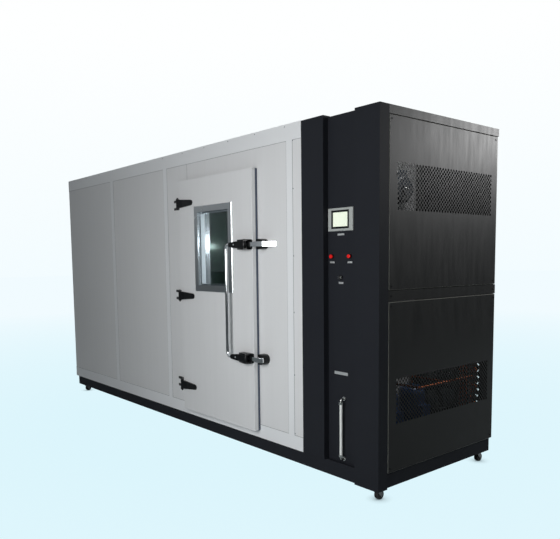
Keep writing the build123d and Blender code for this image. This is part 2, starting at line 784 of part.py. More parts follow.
# Keepers: a horseshoe bracket on the wall and a strike whose lip stands in front of the bolt's nose
keeper_x = (leaf_right + keeper_from_edge, leaf_right + keeper_from_edge + keeper_length)
pocket_end = bolt_tip + bolt_end_gap
keeper_front = y_front - keeper_depth
lip_front = bolt_front - side_gap - strike_lip
keeper_pieces = []
strike_pieces = []
for level, tail in zip(latch_levels, (keeper_length, keeper_length + strike_tail)):
    with BuildPart() as keeper:
        with BuildSketch(front_plane(y_front)):
            with Locations((keeper_x[1] - keeper_height / 2, level)):
                Circle(keeper_height / 2)
            rectangle((keeper_x[0], keeper_x[1] - keeper_height / 2),
                      (level - keeper_height / 2, level + keeper_height / 2))
        extrude(amount=keeper_depth)
        block((keeper_x[0], pocket_end), (keeper_front, y_front - bracket_foot_thickness),
              (level - bolt_height / 2 - bolt_gap, level + bolt_height / 2 + bolt_gap),
              mode=Mode.SUBTRACT)
    keeper_pieces.append(keeper)
    tail_end = keeper_x[0] + tail
    with BuildPart() as strike:
        with BuildSketch(Plane.XY.offset(level - strike_height / 2)):
            with BuildLine():
                if tail_end > keeper_x[1]:
                    Polyline((keeper_x[0], bolt_front - side_gap), (keeper_x[0], lip_front),
                             (pocket_end + strike_web, lip_front),
                             (keeper_x[1] + strike_web, keeper_front - strike_foot),
                             (tail_end, y_front - strike_foot),
                             (tail_end, y_front), (keeper_x[1] + fit_gap, y_front),
                             (keeper_x[1] + fit_gap, keeper_front), (pocket_end, keeper_front),
                             (pocket_end, bolt_front - side_gap), close=True)
                else:
                    Polyline((keeper_x[0], bolt_front - side_gap), (keeper_x[0], lip_front),
                             (pocket_end + strike_web, lip_front),
                             (tail_end - fit_gap, keeper_front - strike_foot),
                             (tail_end - fit_gap, keeper_front),
                             (pocket_end, keeper_front),
                             (pocket_end, bolt_front - side_gap), close=True)
            make_face()
        extrude(amount=strike_height)
    strike_pieces.append(strike)
save_group(keeper_pieces, "keeper_brackets")
save_group(strike_pieces, "keeper_strikes")

# Machine cabinet frame: square tubes at the corners and round the top, and the flush cross rail
control_front = y_front + control_recess
frame_front = control_front + pan_depth
frame_rear = y_rear - pan_depth
frame_right = x_right - pan_depth
frame_top = z_machine - sheet
post_low = z_floor + tray_thickness
side_low = y_front + corner_return
side_high = y_rear - side_rear_gap
frame_pieces = []
for post_x in (room_right + tube_size / 2, frame_right - tube_size / 2):
    for post_y in (frame_front + tube_size / 2, frame_rear - tube_size / 2):
        with BuildPart() as post:
            with BuildSketch(Plane.XY.offset(post_low)):
                with Locations((post_x, post_y)):
                    Rectangle(tube_size, tube_size)
                    Rectangle(tube_size - 2 * tube_wall, tube_size - 2 * tube_wall, mode=Mode.SUBTRACT)
            extrude(amount=frame_top - post_low)
        frame_pieces.append(post)
rail_x = (room_right + tube_size, frame_right - tube_size)
rail_y = (frame_front + tube_size, frame_rear - tube_size)
for rail_side in (frame_front, frame_rear - tube_size):
    with BuildPart() as top_rail:
        block(rail_x, (rail_side, rail_side + tube_size), (frame_top - tube_size, frame_top))
    frame_pieces.append(top_rail)
mid_rail = z_base + (cross_rail_low + cross_rail_high) / 2
for rail_side, rail_z in ((room_right, frame_top - tube_size / 2), (room_right, mid_rail),
                          (frame_right - tube_size, frame_top - tube_size / 2),
                          (frame_right - tube_size, mid_rail)):
    with BuildPart() as side_rail:
        block((rail_side, rail_side + tube_size), rail_y, (rail_z - tube_size / 2, rail_z + tube_size / 2))
    frame_pieces.append(side_rail)
with BuildPart() as cross_cover:
    block((frame_right, x_right), (side_low, side_high),
          (z_base + cross_rail_low, z_base + cross_rail_high))
    offset(amount=-sheet, openings=cross_cover.faces().sort_by(Axis.X)[0])
frame_pieces.append(cross_cover)
save_group(frame_pieces, "cabinet_frame")

# Front columns: flush transition column, recessed control panel and the wrap-round corner column
control_left = room_right + transition_width
control_right = x_right - corner_width
with BuildPart() as transition_column:
    block((room_right, control_left), (y_front, frame_front), (z_floor, z_top))
    offset(amount=-sheet, openings=transition_column.faces().sort_by(Axis.Y)[-1])
save(transition_column, "transition_column")

with BuildPart() as corner_column:
    with BuildSketch(Plane.XY.offset(z_base)):
        with BuildLine():
            Polyline((control_right, frame_front), (control_right, y_front), (x_right, y_front),
                     (x_right, side_low), (x_right - sheet, side_low),
                     (x_right - sheet, y_front + sheet), (control_right + sheet, y_front + sheet),
                     (control_right + sheet, frame_front), close=True)
        make_face()
    extrude(amount=z_machine - z_base)
    block((control_right, x_right - sheet), (base_front, frame_front), (z_base, post_low), mode=Mode.SUBTRACT)
save(corner_column, "corner_column")

controls_x = (control_left + control_right) / 2 - controls_shift
touch_x = (controls_x - touch_width / 2, controls_x + touch_width / 2)
touch_z = (z_base + touch_low, z_base + touch_low + touch_height)
button_z = z_base + button_level
button_xs = (controls_x - button_spacing / 2, controls_x + button_spacing / 2)
key_x = controls_x
key_z = z_base + key_level
gauge_x = (control_left + control_right) / 2 + gauge_shift
gauge_zs = (z_base + gauge_low, z_base + gauge_high)
box_x = (touch_x[0] + touch_box_margin, touch_x[1] - touch_box_margin)
box_z = (touch_z[0] + touch_box_margin, touch_z[1] - touch_box_margin)
with BuildPart() as control_panel:
    block((control_left, control_right), (control_front, frame_front), (z_floor, z_machine))
    offset(amount=-sheet, openings=control_panel.faces().sort_by(Axis.Y)[-1])
    with BuildSketch(front_plane(frame_front)):
        rectangle(box_x, box_z)
        for place_x, place_z in ((button_xs[0], button_z), (button_xs[1], button_z), (key_x, key_z)):
            with Locations((place_x, place_z)):
                Circle(collar_radius - collar_proud + fit_gap)
        for gauge_z in gauge_zs:
            with Locations((gauge_x, gauge_z)):
                Circle(gauge_pipe_radius + fit_gap)
    extrude(amount=pan_depth, mode=Mode.SUBTRACT)
save(control_panel, "control_panel")


def vent_sketch(centre_y, centre_z):
    """Draw a staggered field of diamond holes in the sketch in hand."""
    across = int(vent_width // vent_pitch)
    rows = int(vent_height // vent_pitch)
    with Locations((centre_y, centre_z)):
        with GridLocations(vent_pitch, vent_pitch, across, rows):
            RegularPolygon(vent_hole, 4)
        with GridLocations(vent_pitch, vent_pitch, across - 1, rows + 1):
            RegularPolygon(vent_hole, 4)


# Side panels: folded pans with a perforated field
vent_y = (side_low + side_high) / 2
panel_spans = {
    "side_panel_upper": (z_base + cross_rail_high + panel_seam, z_machine - roof_rim - panel_seam,
                         z_machine - vent_upper_drop),
    "side_panel_lower": (z_floor, z_base + cross_rail_low - panel_seam, z_base + vent_lower),
}
for name, (low, high, vent_low) in panel_spans.items():
    with BuildPart() as side_panel:
        block((frame_right, x_right), (side_low + panel_seam, side_high), (low, high))
        offset(amount=-sheet, openings=side_panel.faces().sort_by(Axis.X)[0])
        with BuildSketch(side_plane(x_right - sheet)):
            vent_sketch(vent_y, vent_low + vent_height / 2)
        extrude(amount=sheet, mode=Mode.SUBTRACT)
    save(side_panel, name)

# Roof tray with a rim down the right and rear sides
with BuildPart() as cabinet_roof:
    block((room_right, x_right - sheet), (frame_front, y_rear), (frame_top, z_machine))
    block((x_right - sheet, x_right), (side_low, y_rear), (z_machine - roof_rim, z_machine))
    block((room_right, x_right), (y_rear - sheet, y_rear), (z_machine - roof_rim, frame_top))
save(cabinet_roof, "cabinet_roof")

# Rear covers: two pans, the lower one with louvre slots for the condenser's air
rear_pieces = []
for low, high in ((z_floor, z_base + cross_rail_low),
                  (z_base + cross_rail_low, z_machine - roof_rim)):
    with BuildPart() as rear_cover:
        block((room_right, x_right - pan_depth), (frame_rear, y_rear), (low, high))
        offset(amount=-sheet, openings=rear_cover.faces().sort_by(Axis.Y)[0])
        if low < z_base + louvre_low:
            with BuildSketch(front_plane(y_rear)):
                louvre_mid = z_base + louvre_low + (louvre_count - 1) * louvre_pitch / 2
                with Locations(((room_right + x_right - pan_depth) / 2, louvre_mid)):
                    with GridLocations(louvre_pitch, louvre_pitch, 1, louvre_count):
                        Rectangle(louvre_length, louvre_height)
            extrude(amount=pan_depth, mode=Mode.SUBTRACT)
    rear_pieces.append(rear_cover)
save_group(rear_pieces, "rear_covers")

# Cover screws on the side panels and the cross rail
screw_levels = (z_machine - roof_rim - screw_margin, z_base + cross_rail_high + screw_margin,
                mid_rail, z_base + cross_rail_low - screw_margin, z_floor + screw_margin)
with BuildPart() as panel_screws:
    with BuildSketch(side_plane(x_right)):
        for screw_z in screw_levels:
            for screw_y in (side_low + screw_margin, side_high - screw_margin):
                with Locations((screw_y, screw_z)):
                    RegularPolygon(screw_radius, 6)
    extrude(amount=screw_head)
save(panel_screws, "panel_screws")

# Touch controller: bezel with a box behind the panel, and a sunk screen
screen_x = (touch_x[0] + touch_border_side, touch_x[1] - touch_border_side)
screen_z = (touch_z[0] + touch_border_top, touch_z[1] - touch_border_top)
with BuildPart() as touch_bezel:
    block(touch_x, (control_front - touch_proud, control_front), touch_z)
    chamfer(touch_bezel.faces().sort_by(Axis.Y)[0].edges(), length=touch_edge)
    block((box_x[0] + fit_gap, box_x[1] - fit_gap), (control_front, control_front + touch_box_depth),
          (box_z[0] + fit_gap, box_z[1] - fit_gap))
    block(screen_x, (control_front - touch_proud, control_front), screen_z, mode=Mode.SUBTRACT)
save(touch_bezel, "touch_bezel")
with BuildPart() as touch_screen:
    block(screen_x, (control_front - touch_proud + screen_sink, control_front), screen_z)
save(touch_screen, "touch_screen")

# Push buttons and key switch in their collars
collar_pieces = []
for place_x, place_z, bore in ((button_xs[0], button_z, button_radius),
                               (button_xs[1], button_z, button_radius), (key_x, key_z, key_radius)):
    with BuildPart() as collar:
        with BuildSketch(front_plane(control_front)):
            with Locations((place_x, place_z)):
                Circle(collar_radius)
        extrude(amount=collar_proud)
        with BuildSketch(front_plane(control_front)):
            with Locations((place_x, place_z)):
                Circle(collar_radius - collar_proud + fit_gap / 2)
        extrude(amount=-collar_depth)
        with BuildSketch(front_plane(control_front - collar_proud)):
            with Locations((place_x, place_z)):
                Circle(min(bore, collar_radius - collar_proud - sheet) + running_gap)
        extrude(amount=-collar_depth, mode=Mode.SUBTRACT)
    collar_pieces.append(collar)
save_group(collar_pieces, "control_collars")

stem_radius = min(button_radius, collar_radius - collar_proud - sheet)
for name, place_x in zip(("push_button_left", "push_button_right"), button_xs):
    with BuildPart() as button:
        with BuildSketch(front_plane(control_front - collar_proud + button_length / 2)):
            with Locations((place_x, button_z)):
                Circle(stem_radius)
        extrude(amount=button_length / 2 + button_travel + sheet)
        with BuildSketch(front_plane(control_front - collar_proud - button_travel - sheet / 2)):
            with Locations((place_x, button_z)):
                Circle(button_cap_radius)
        extrude(amount=button_proud - button_travel)
        fillet(button.faces().sort_by(Axis.Y)[0].edges(), radius=sheet)
    save(button, name)

with BuildPart() as key_switch:
    with BuildSketch(front_plane(control_front - collar_proud + button_length / 2)):
        with Locations((key_x, key_z)):
            Circle(key_radius)
    extrude(amount=button_length / 2 + sheet)
    block((key_x - key_blade_thickness / 2, key_x + key_blade_thickness / 2),
          (control_front - collar_proud - sheet - key_blade, control_front - collar_proud - sheet),
          (key_z - key_radius, key_z + key_radius))
save(key_switch, "key_switch")

# Water gauge: two elbow fittings through the panel and a clear tube between their nuts
gauge_y = control_front - gauge_standoff
tank_front = frame_front + tube_size
fitting_pieces = []
for gauge_z, up in zip(gauge_zs, (1, -1)):
    with BuildPart() as fitting:
        with BuildLine():
            FilletPolyline((gauge_x, tank_front, gauge_z), (gauge_x, gauge_y, gauge_z),
                           (gauge_x, gauge_y, gauge_z + up * gauge_standoff), radius=gauge_bend)
        with BuildSketch(Plane(origin=(gauge_x, tank_front, gauge_z), z_dir=(0, -1, 0))):
            Circle(gauge_pipe_radius)
        sweep()
        with BuildSketch(front_plane(control_front)):
            with Locations((gauge_x, gauge_z)):
                Circle(gauge_nut_radius)
        extrude(amount=gauge_flange)
        with BuildSketch(Plane.XY.offset(gauge_z + up * gauge_standoff)):
            with Locations((gauge_x, gauge_y)):
                RegularPolygon(gauge_nut_radius, 6)
        extrude(amount=-up * gauge_nut_height)
    fitting_pieces.append(fitting)
save_group(fitting_pieces, "gauge_fittings")
tube_low = gauge_zs[0] + gauge_standoff
tube_high = gauge_zs[1] - gauge_standoff
with BuildPart() as gauge_tube:
    with BuildSketch(Plane.XY.offset(tube_low)):
        with Locations((gauge_x, gauge_y)):
            Circle(gauge_tube_radius)
            Circle(gauge_bore, mode=Mode.SUBTRACT)
    extrude(amount=tube_high - tube_low)
save(gauge_tube, "gauge_tube")

# Humidifier water tank behind the gauge
tank_depth = 150.0
tank_margin = 20.0
with BuildPart() as water_tank:
    block((control_left, control_right), (tank_front, tank_front + tank_depth),
          (post_low, gauge_zs[1] + 3 * tank_margin))
    fillet(water_tank.edges().filter_by(Axis.Z), radius=tank_margin)
save(water_tank, "water_tank")

# Electrical mounting plate with rails of switchgear, behind the control panel
plate_y = frame_front + tube_size + touch_box_depth
plate_x = (room_right + 2 * tube_size, frame_right - 2 * tube_size)
plate_z = (z_base + 900.0, z_base + 2050.0)
with BuildPart() as electrical_panel:
    block(plate_x, (plate_y, plate_y + sheet), plate_z)
    for row in range(4):
        row_z = plate_z[0] + 140.0 + row * 260.0
        block((plate_x[0] + tube_size, plate_x[1] - tube_size), (plate_y + sheet, plate_y + 70.0),
              (row_z, row_z + 90.0))
    for post_x in (plate_x[0], plate_x[1] - sheet):
        block((post_x, post_x + sheet), (frame_front + tube_size, plate_y), plate_z)
    block((room_right + tube_size, frame_right - tube_size), (frame_front + tube_size, frame_front + tube_size + sheet),
          (plate_z[0], plate_z[0] + tube_size))
    block((room_right, room_right + 1.5 * tube_size), (frame_front + tube_size, frame_front + tube_size + sheet),
          (plate_z[0], plate_z[0] + tube_size))
    block((frame_right - 1.5 * tube_size, frame_right), (frame_front + tube_size, frame_front + tube_size + sheet),
          (plate_z[0], plate_z[0] + tube_size))
save(electrical_panel, "electrical_panel")

# Compressors on rubber grommets
tray_top = z_floor + tray_thickness
shell_low = tray_top + grommet_height + compressor_foot_thickness
compressor_x = x_right - compressor_from_right
compressor_ys = (y_front + compressor_first, y_front + compressor_first + compressor_gap)
foot_reach = compressor_foot / 2 - grommet_radius
with BuildPart() as compressors:
    for place_y in compressor_ys:
        with BuildSketch(Plane.XY.offset(shell_low)):
            with Locations((compressor_x, place_y)):
                Circle(compressor_radius)
        extrude(amount=compressor_height)
    fillet(compressors.faces().group_by(Axis.Z)[-1].edges(), radius=compressor_radius * 0.55)
    for place_y in compressor_ys:
        with BuildSketch(Plane.XY.offset(shell_low - compressor_foot_thickness)):
            with Locations((compressor_x, place_y)):
                RectangleRounded(compressor_foot, compressor_foot, grommet_radius)
        extrude(amount=compressor_foot_thickness)
        block((compressor_x + compressor_radius * 0.7, compressor_x + compressor_radius + 40.0),
              (place_y - 45.0, place_y + 45.0), (shell_low + 150.0, shell_low + 260.0))
with BuildPart() as grommets:
    with BuildSketch(Plane.XY.offset(tray_top)):
        for place_y in compressor_ys:
            with Locations((compressor_x, place_y)):
                with GridLocations(2 * foot_reach, 2 * foot_reach, 2, 2):
                    RegularPolygon(grommet_radius, 8)
    extrude(amount=grommet_height)
save_group((compressors, grommets), "compressors")

# Condenser: finned block between end plates, with return bends showing at its right end
coil_x = (room_right + coil_side, frame_right - tube_size - coil_side)
coil_y = (frame_rear - tube_size - coil_thickness, frame_rear - tube_size)
coil_z = (tray_top, tray_top + coil_height)
bend_radius = bend_pitch / 4
with BuildPart() as condenser_coil:
    block(coil_x, coil_y, coil_z)
    for side in (coil_x[0] - coil_plate, coil_x[1]):
        block((side, side + coil_plate), (coil_y[0] - coil_plate, coil_y[1]),
              (coil_z[0], coil_z[1] + coil_plate))
save(condenser_coil, "condenser_coil")
bend_y = (coil_y[0] + coil_y[1]) / 2
bend_x = coil_x[1] + coil_plate
with BuildPart() as condenser_bends:
    for row in range(bend_rows):
        bend_z = coil_z[0] + coil_height / 2 + (row - (bend_rows - 1) / 2) * bend_pitch * 2
        with BuildLine():
            Line((bend_x, bend_y, bend_z - bend_radius), (bend_x + bend_radius, bend_y, bend_z - bend_radius))
            ThreePointArc((bend_x + bend_radius, bend_y, bend_z - bend_radius),
                          (bend_x + 2 * bend_radius, bend_y, bend_z),
                          (bend_x + bend_radius, bend_y, bend_z + bend_radius))
            Line((bend_x + bend_radius, bend_y, bend_z + bend_radius), (bend_x, bend_y, bend_z + bend_radius))
        with BuildSketch(Plane(origin=(bend_x, bend_y, bend_z - bend_radius), z_dir=(1, 0, 0))):
            Circle(pipe_radius)
        sweep()

# Hot-gas lines from the compressors up to a header on the coil, and the line through the room's wall
header_x = coil_x[1] + coil_plate + 3 * bend_radius
header_y = coil_y[0] - 2 * bend_radius
header_z = shell_low + compressor_height + 4 * bend_radius
line_pieces = [condenser_bends]
for place_y in compressor_ys:
    with BuildPart() as hot_line:
        with BuildLine():
            FilletPolyline((compressor_x, place_y, shell_low + compressor_height), (compressor_x, place_y, header_z),
                           (header_x, place_y, header_z), (header_x, header_y, header_z), radius=bend_radius)
        with BuildSketch(Plane.XY.offset(shell_low + compressor_height)):
            with Locations((compressor_x, place_y)):
                Circle(pipe_radius)
        sweep()
    line_pieces.append(hot_line)
save_group(line_pieces, "refrigerant_lines")

# Condenser fan in its shroud, blowing out through the rear louvres
fan_x = (coil_x[0] + coil_x[1]) / 2
fan_z = coil_z[0] + coil_height / 2
shroud_back = coil_y[0]
shroud_front = shroud_back - shroud_depth
with BuildPart() as fan_shroud:
    with BuildSketch(front_plane(shroud_back)):
        with Locations((fan_x, fan_z)):
            Rectangle(coil_x[1] - coil_x[0], coil_height)
            Circle(fan_radius + shroud_clearance, mode=Mode.SUBTRACT)
    extrude(amount=shroud_wall)
    with BuildSketch(front_plane(shroud_back)):
        with Locations((fan_x, fan_z)):
            Circle(fan_radius + shroud_clearance + shroud_wall)
            Circle(fan_radius + shroud_clearance, mode=Mode.SUBTRACT)
    extrude(amount=shroud_depth)
    block((fan_x - fan_radius - 2 * shroud_clearance, fan_x + fan_radius + 2 * shroud_clearance),
          (shroud_front - 2 * shroud_wall, shroud_front), (fan_z - shaft_radius, fan_z + shaft_radius))
    with BuildSketch(front_plane(shroud_front - 2 * shroud_wall)):
        with Locations((fan_x, fan_z)):
            Circle(fan_hub_radius)
    extrude(amount=fan_hub_length)
    with BuildSketch(front_plane(shroud_front)):
        with Locations((fan_x, fan_z)):
            Circle(pipe_radius)
    extrude(amount=-shroud_clearance)
save(fan_shroud, "fan_shroud")
with BuildPart() as condenser_fan:
    with BuildSketch(front_plane(shroud_front + shroud_clearance + fan_hub_length)):
        with Locations((fan_x, fan_z)):
            Circle(fan_hub_radius)
    extrude(amount=fan_hub_length)
    for blade in range(fan_blades):
        turn = 360.0 / fan_blades * blade
        blade_plane = Plane(origin=(fan_x, shroud_front + shroud_clearance + fan_hub_length / 2, fan_z),
                            x_dir=(0, 1, 0), z_dir=(cos(radians(turn)), 0, sin(radians(turn))))
        with BuildSketch(blade_plane.offset(fan_hub_radius * 0.8)):
            Rectangle(fan_hub_length * 0.8, blade_thickness, rotation=blade_pitch)
        with BuildSketch(blade_plane.offset(fan_radius * 0.98)):
            Rectangle(fan_hub_length, blade_thickness, rotation=blade_pitch * 0.6)
        loft()
    with BuildSketch(front_plane(shroud_front + shroud_clearance + fan_hub_length)):
        with Locations((fan_x, fan_z)):
            Circle(fan_radius)
    extrude(amount=2 * fan_hub_length, both=True, mode=Mode.INTERSECT)
save(condenser_fan, "condenser_fan")

# Circulation motor on its galvanised plate, with the fan on its shaft inside the plenum
plate_left = room_right + motor_plate_reach
plate_right = plate_left + motor_plate_thickness
motor_left = plate_left - motor_behind
motor_right = plate_right + motor_ahead
with BuildPart() as circulation_motor:
    with BuildSketch(side_plane(motor_left)):
        with Locations((motor_y, motor_z)):
            Circle(motor_radius)
    extrude(amount=motor_right - motor_left)
    fillet(circulation_motor.faces().sort_by(Axis.X)[-1].edges(), radius=motor_radius * 0.25)
    with BuildSketch(side_plane(motor_right)):
        with Locations((motor_y, motor_z)):
            Circle(motor_radius * 0.45)
    extrude(amount=shaft_radius)
    block((plate_right + shaft_radius, motor_right - 2 * shaft_radius), (motor_y - motor_radius / 2, motor_y + motor_radius / 2),
          (motor_z + motor_radius * 0.8, motor_z + motor_radius * 1.4))
save(circulation_motor, "circulation_motor")
with BuildPart() as motor_plate:
    block((plate_left, plate_right), (motor_y - motor_plate_width / 2, motor_y + motor_plate_width / 2),
          (motor_z - motor_plate_height / 2, motor_z + motor_plate_height / 2))
    for edge_y in (motor_y - motor_plate_width / 2, motor_y + motor_plate_width / 2 - motor_plate_thickness):
        block((room_right, plate_left), (edge_y, edge_y + motor_plate_thickness),
              (motor_z - motor_plate_height / 2, motor_z + motor_plate_height / 2))
    with BuildSketch(side_plane(plate_left)):
        with Locations((motor_y, motor_z)):
            Circle(motor_radius)
    extrude(amount=motor_plate_thickness, mode=Mode.SUBTRACT)
save(motor_plate, "motor_plate")

impeller_back = x_inner_right - liner_thickness - shroud_clearance * 2
with BuildPart() as circulation_fan:
    with BuildSketch(side_plane(impeller_back - impeller_width)):
        with Locations((motor_y, motor_z)):
            Circle(shaft_radius)
    extrude(amount=motor_left - fit_gap - impeller_back + impeller_width)
    with BuildSketch(side_plane(impeller_back - shroud_wall)):
        with Locations((motor_y, motor_z)):
            Circle(impeller_radius)
    extrude(amount=shroud_wall)
    with BuildSketch(side_plane(impeller_back - impeller_width)):
        with Locations((motor_y, motor_z)):
            Circle(impeller_radius)
            Circle(impeller_radius * 0.78, mode=Mode.SUBTRACT)
    extrude(amount=shroud_wall)
    with BuildSketch(side_plane(impeller_back - impeller_width)):
        with Locations((motor_y, motor_z)):
            with PolarLocations(impeller_radius * 0.86, impeller_blades):
                Rectangle(impeller_radius * 0.24, blade_thickness, rotation=blade_pitch)
    extrude(amount=impeller_width)
    with BuildSketch(side_plane(impeller_back - impeller_width)):
        with Locations((motor_y, motor_z)):
            Circle(shaft_radius * 2.2)
    extrude(amount=impeller_width)
save(circulation_fan, "circulation_fan")

# Baffle that walls off the plenum, open along its bottom for return air and along its top for supply air
baffle_z = (z_room_floor + liner_thickness + baffle_bottom_gap, z_ceiling - liner_thickness - baffle_top_gap)
liner_y = (y_inner_front + liner_thickness, y_inner_rear - liner_thickness)
with BuildPart() as air_baffle:
    block((plenum_x, plenum_x + sheet), liner_y, baffle_z)
    for edge_y in (liner_y[0], liner_y[1] - sheet):
        block((plenum_x + sheet, plenum_x + baffle_flange), (edge_y, edge_y + sheet), baffle_z)
save(air_baffle, "air_baffle")

# Evaporator and heater in the plenum
liner_x = x_inner_right - liner_thickness
evaporator_x = (liner_x - evaporator_depth, liner_x)
evaporator_z = (z_room_floor + evaporator_level - evaporator_height / 2,
                z_room_floor + evaporator_level + evaporator_height / 2)
with BuildPart() as evaporator_coil:
    block(evaporator_x, (liner_y[0] + 2 * tube_size, liner_y[1] - 2 * tube_size), evaporator_z)
    for side in (liner_y[0] + 2 * tube_size - coil_plate, liner_y[1] - 2 * tube_size):
        block((evaporator_x[0] - coil_plate, evaporator_x[1]), (side, side + coil_plate), evaporator_z)
save(evaporator_coil, "evaporator_coil")
heater_y = (liner_y[0] + 2 * tube_size, liner_y[1] - 2 * tube_size)
with BuildPart() as heater_bank:
    for side in (heater_y[0], heater_y[1] - coil_plate):
        block((evaporator_x[0], liner_x), (side, side + coil_plate),
              (z_room_floor + heater_level - tube_size, z_room_floor + heater_level + heater_rods * heater_pitch))
    with BuildSketch(front_plane(heater_y[1])):
        with Locations((liner_x - evaporator_depth / 2,
                        z_room_floor + heater_level + (heater_rods - 1) * heater_pitch / 2)):
            with GridLocations(heater_pitch * 2, heater_pitch, 2, heater_rods):
                RegularPolygon(heater_rod, 8)
    extrude(amount=heater_y[1] - heater_y[0])
save(heater_bank, "heater_bank")

# Bulkhead lamp on the ceiling
lamp_x = leaf_centre
lamp_y = (liner_y[0] + liner_y[1]) / 2
with BuildPart() as chamber_lamp:
    with BuildSketch(Plane.XY.offset(z_ceiling - liner_thickness)):
        with Locations((lamp_x, lamp_y)):
            Circle(lamp_radius)
    extrude(amount=-lamp_height)
    fillet(chamber_lamp.faces().sort_by(Axis.Z)[0].edges(), radius=lamp_height * 0.6)
save(chamber_lamp, "chamber_lamp")

# Castors: a swivelling fork with its axle and a wheel in each
axle_z = wheel_radius
fork_top = z_base - castor_plate_thickness - swivel_gap
fork_half = wheel_width / 2 + fork_gap
for place, (castor_x, castor_y) in castor_places.items():
    wheel_y = castor_y + fork_trail
    with BuildPart() as fork:
        with BuildSketch(Plane.XY.offset(fork_top - head_height)):
            with Locations((castor_x, castor_y)):
                Circle(head_radius)
        extrude(amount=head_height)
        for side in (-1, 1):
            cheek_x = castor_x + side * (fork_half + fork_wall / 2)
            with BuildSketch(side_plane(cheek_x - fork_wall / 2)):
                with BuildLine():
                    Polyline((castor_y - head_radius * 0.7, fork_top - head_height),
                             (castor_y + head_radius * 0.9, fork_top - head_height),
                             (wheel_y + wheel_radius * 0.4, axle_z),
                             (wheel_y, axle_z - wheel_radius * 0.35),
                             (wheel_y - wheel_radius * 0.4, axle_z), close=True)
                make_face()
            extrude(amount=fork_wall)
        with BuildSketch(side_plane(castor_x - fork_half - 2 * fork_wall)):
            with Locations((wheel_y, axle_z)):
                Circle(axle_radius)
        extrude(amount=2 * (fork_half + 2 * fork_wall))
        with BuildSketch(Plane.XY.offset(fork_top - head_height)):
            with Locations((castor_x, castor_y)):
                Circle(kingpin_radius + running_gap)
        extrude(amount=head_height, mode=Mode.SUBTRACT)
    save(fork, f"castor_fork_{place}")
    with BuildPart() as wheel:
        with BuildSketch(side_plane(castor_x - wheel_width / 2)):
            with Locations((wheel_y, axle_z)):
                Circle(wheel_radius)
                Circle(axle_radius + running_gap, mode=Mode.SUBTRACT)
        extrude(amount=wheel_width)
        chamfer(wheel.edges().filter_by(GeomType.CIRCLE).group_by(SortBy.RADIUS)[-1], length=sheet)
    save(wheel, f"castor_wheel_{place}")
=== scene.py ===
"""Looks of the walk-in test chamber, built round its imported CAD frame.

Each sub-assembly is a dataclass: its fields are sizes in metres, and its methods build and dress its meshes.
Each surface finish is a frozen dataclass whose patterns are measured in real millimetres.
"""

import json
import logging
import math
from dataclasses import dataclass, field
from enum import Enum

import bmesh
import bpy
from mathutils import Matrix, Vector

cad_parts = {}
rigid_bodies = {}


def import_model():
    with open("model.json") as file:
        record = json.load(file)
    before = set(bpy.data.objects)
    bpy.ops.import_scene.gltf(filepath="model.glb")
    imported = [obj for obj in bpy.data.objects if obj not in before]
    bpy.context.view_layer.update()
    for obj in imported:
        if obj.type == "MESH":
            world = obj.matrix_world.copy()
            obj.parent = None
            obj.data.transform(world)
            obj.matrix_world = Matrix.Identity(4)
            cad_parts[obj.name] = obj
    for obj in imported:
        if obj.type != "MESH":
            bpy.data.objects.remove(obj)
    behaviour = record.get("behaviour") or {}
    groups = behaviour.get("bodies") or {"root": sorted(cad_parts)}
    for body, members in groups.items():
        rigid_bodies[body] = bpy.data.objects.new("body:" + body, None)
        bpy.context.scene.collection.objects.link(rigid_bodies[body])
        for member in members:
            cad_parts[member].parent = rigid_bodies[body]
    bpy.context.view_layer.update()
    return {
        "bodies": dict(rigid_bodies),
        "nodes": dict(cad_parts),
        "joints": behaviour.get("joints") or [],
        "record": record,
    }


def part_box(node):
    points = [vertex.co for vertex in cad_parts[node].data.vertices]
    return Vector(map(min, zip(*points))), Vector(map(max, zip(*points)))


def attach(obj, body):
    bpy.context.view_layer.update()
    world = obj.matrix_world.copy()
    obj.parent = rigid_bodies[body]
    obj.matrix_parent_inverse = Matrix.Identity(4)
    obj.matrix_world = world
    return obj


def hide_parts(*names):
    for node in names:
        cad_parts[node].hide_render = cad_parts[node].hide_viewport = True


LOG = logging.getLogger("chamber")
WELD_GAP = 1e-5
SOFT_ANGLE = math.radians(40)
SMOOTH_ANGLE = math.radians(35)
BEVEL_SEGMENTS = 2
# The second slot holds the painted highlight on the panels' chamfers.
PAINT_SLOT, HIGHLIGHT_SLOT = 0, 1
MM_PER_METRE = 1000.0
# A Mix node's two colour sockets, by number, because its names A and B are shared by every data type.
MIX_A, MIX_B = 6, 7
Point = tuple[float, float, float]
Colour = tuple[float, float, float, float]

FRAME: dict[str, dict] = {}


def linear(code: str) -> Colour:
    """Turns an sRGB hex code into a linear colour.

    Args:
        code: six hex digits.
    Returns:
        Linear red, green, blue and an alpha of 1.
    """
    parts = [int(code[i:i + 2], 16) / 255 for i in (0, 2, 4)]
    parts = [p / 12.92 if p <= 0.04045 else ((p + 0.055) / 1.055) ** 2.4 for p in parts]
    return (parts[0], parts[1], parts[2], 1.0)


def add_node(tree: bpy.types.NodeTree, kind: str, inputs: dict[str | int, object] | None = None,
             **settings: object) -> bpy.types.Node:
    """Adds one shader node with its settings, constants and links.

    Args:
        tree: the node tree to add to.
        kind: the node's class name.
        inputs: input name or number to a constant or to another node's output socket.
        settings: attributes of the node itself.
    Returns:
        The new node.
    """
    node = tree.nodes.new(kind)
    for name, value in settings.items():
        setattr(node, name, value)
    for name, value in (inputs or {}).items():
        if isinstance(value, bpy.types.NodeSocket):
            tree.links.new(value, node.inputs[name])
        else:
            node.inputs[name].default_value = value
    return node


def empty_tree(owner: bpy.types.Material | bpy.types.World) -> bpy.types.NodeTree:
    """Turns on nodes and clears them.

    Args:
        owner: the material or world.
    Returns:
        Its empty node tree.
    """
    owner.use_nodes = True
    owner.node_tree.nodes.clear()
    return owner.node_tree


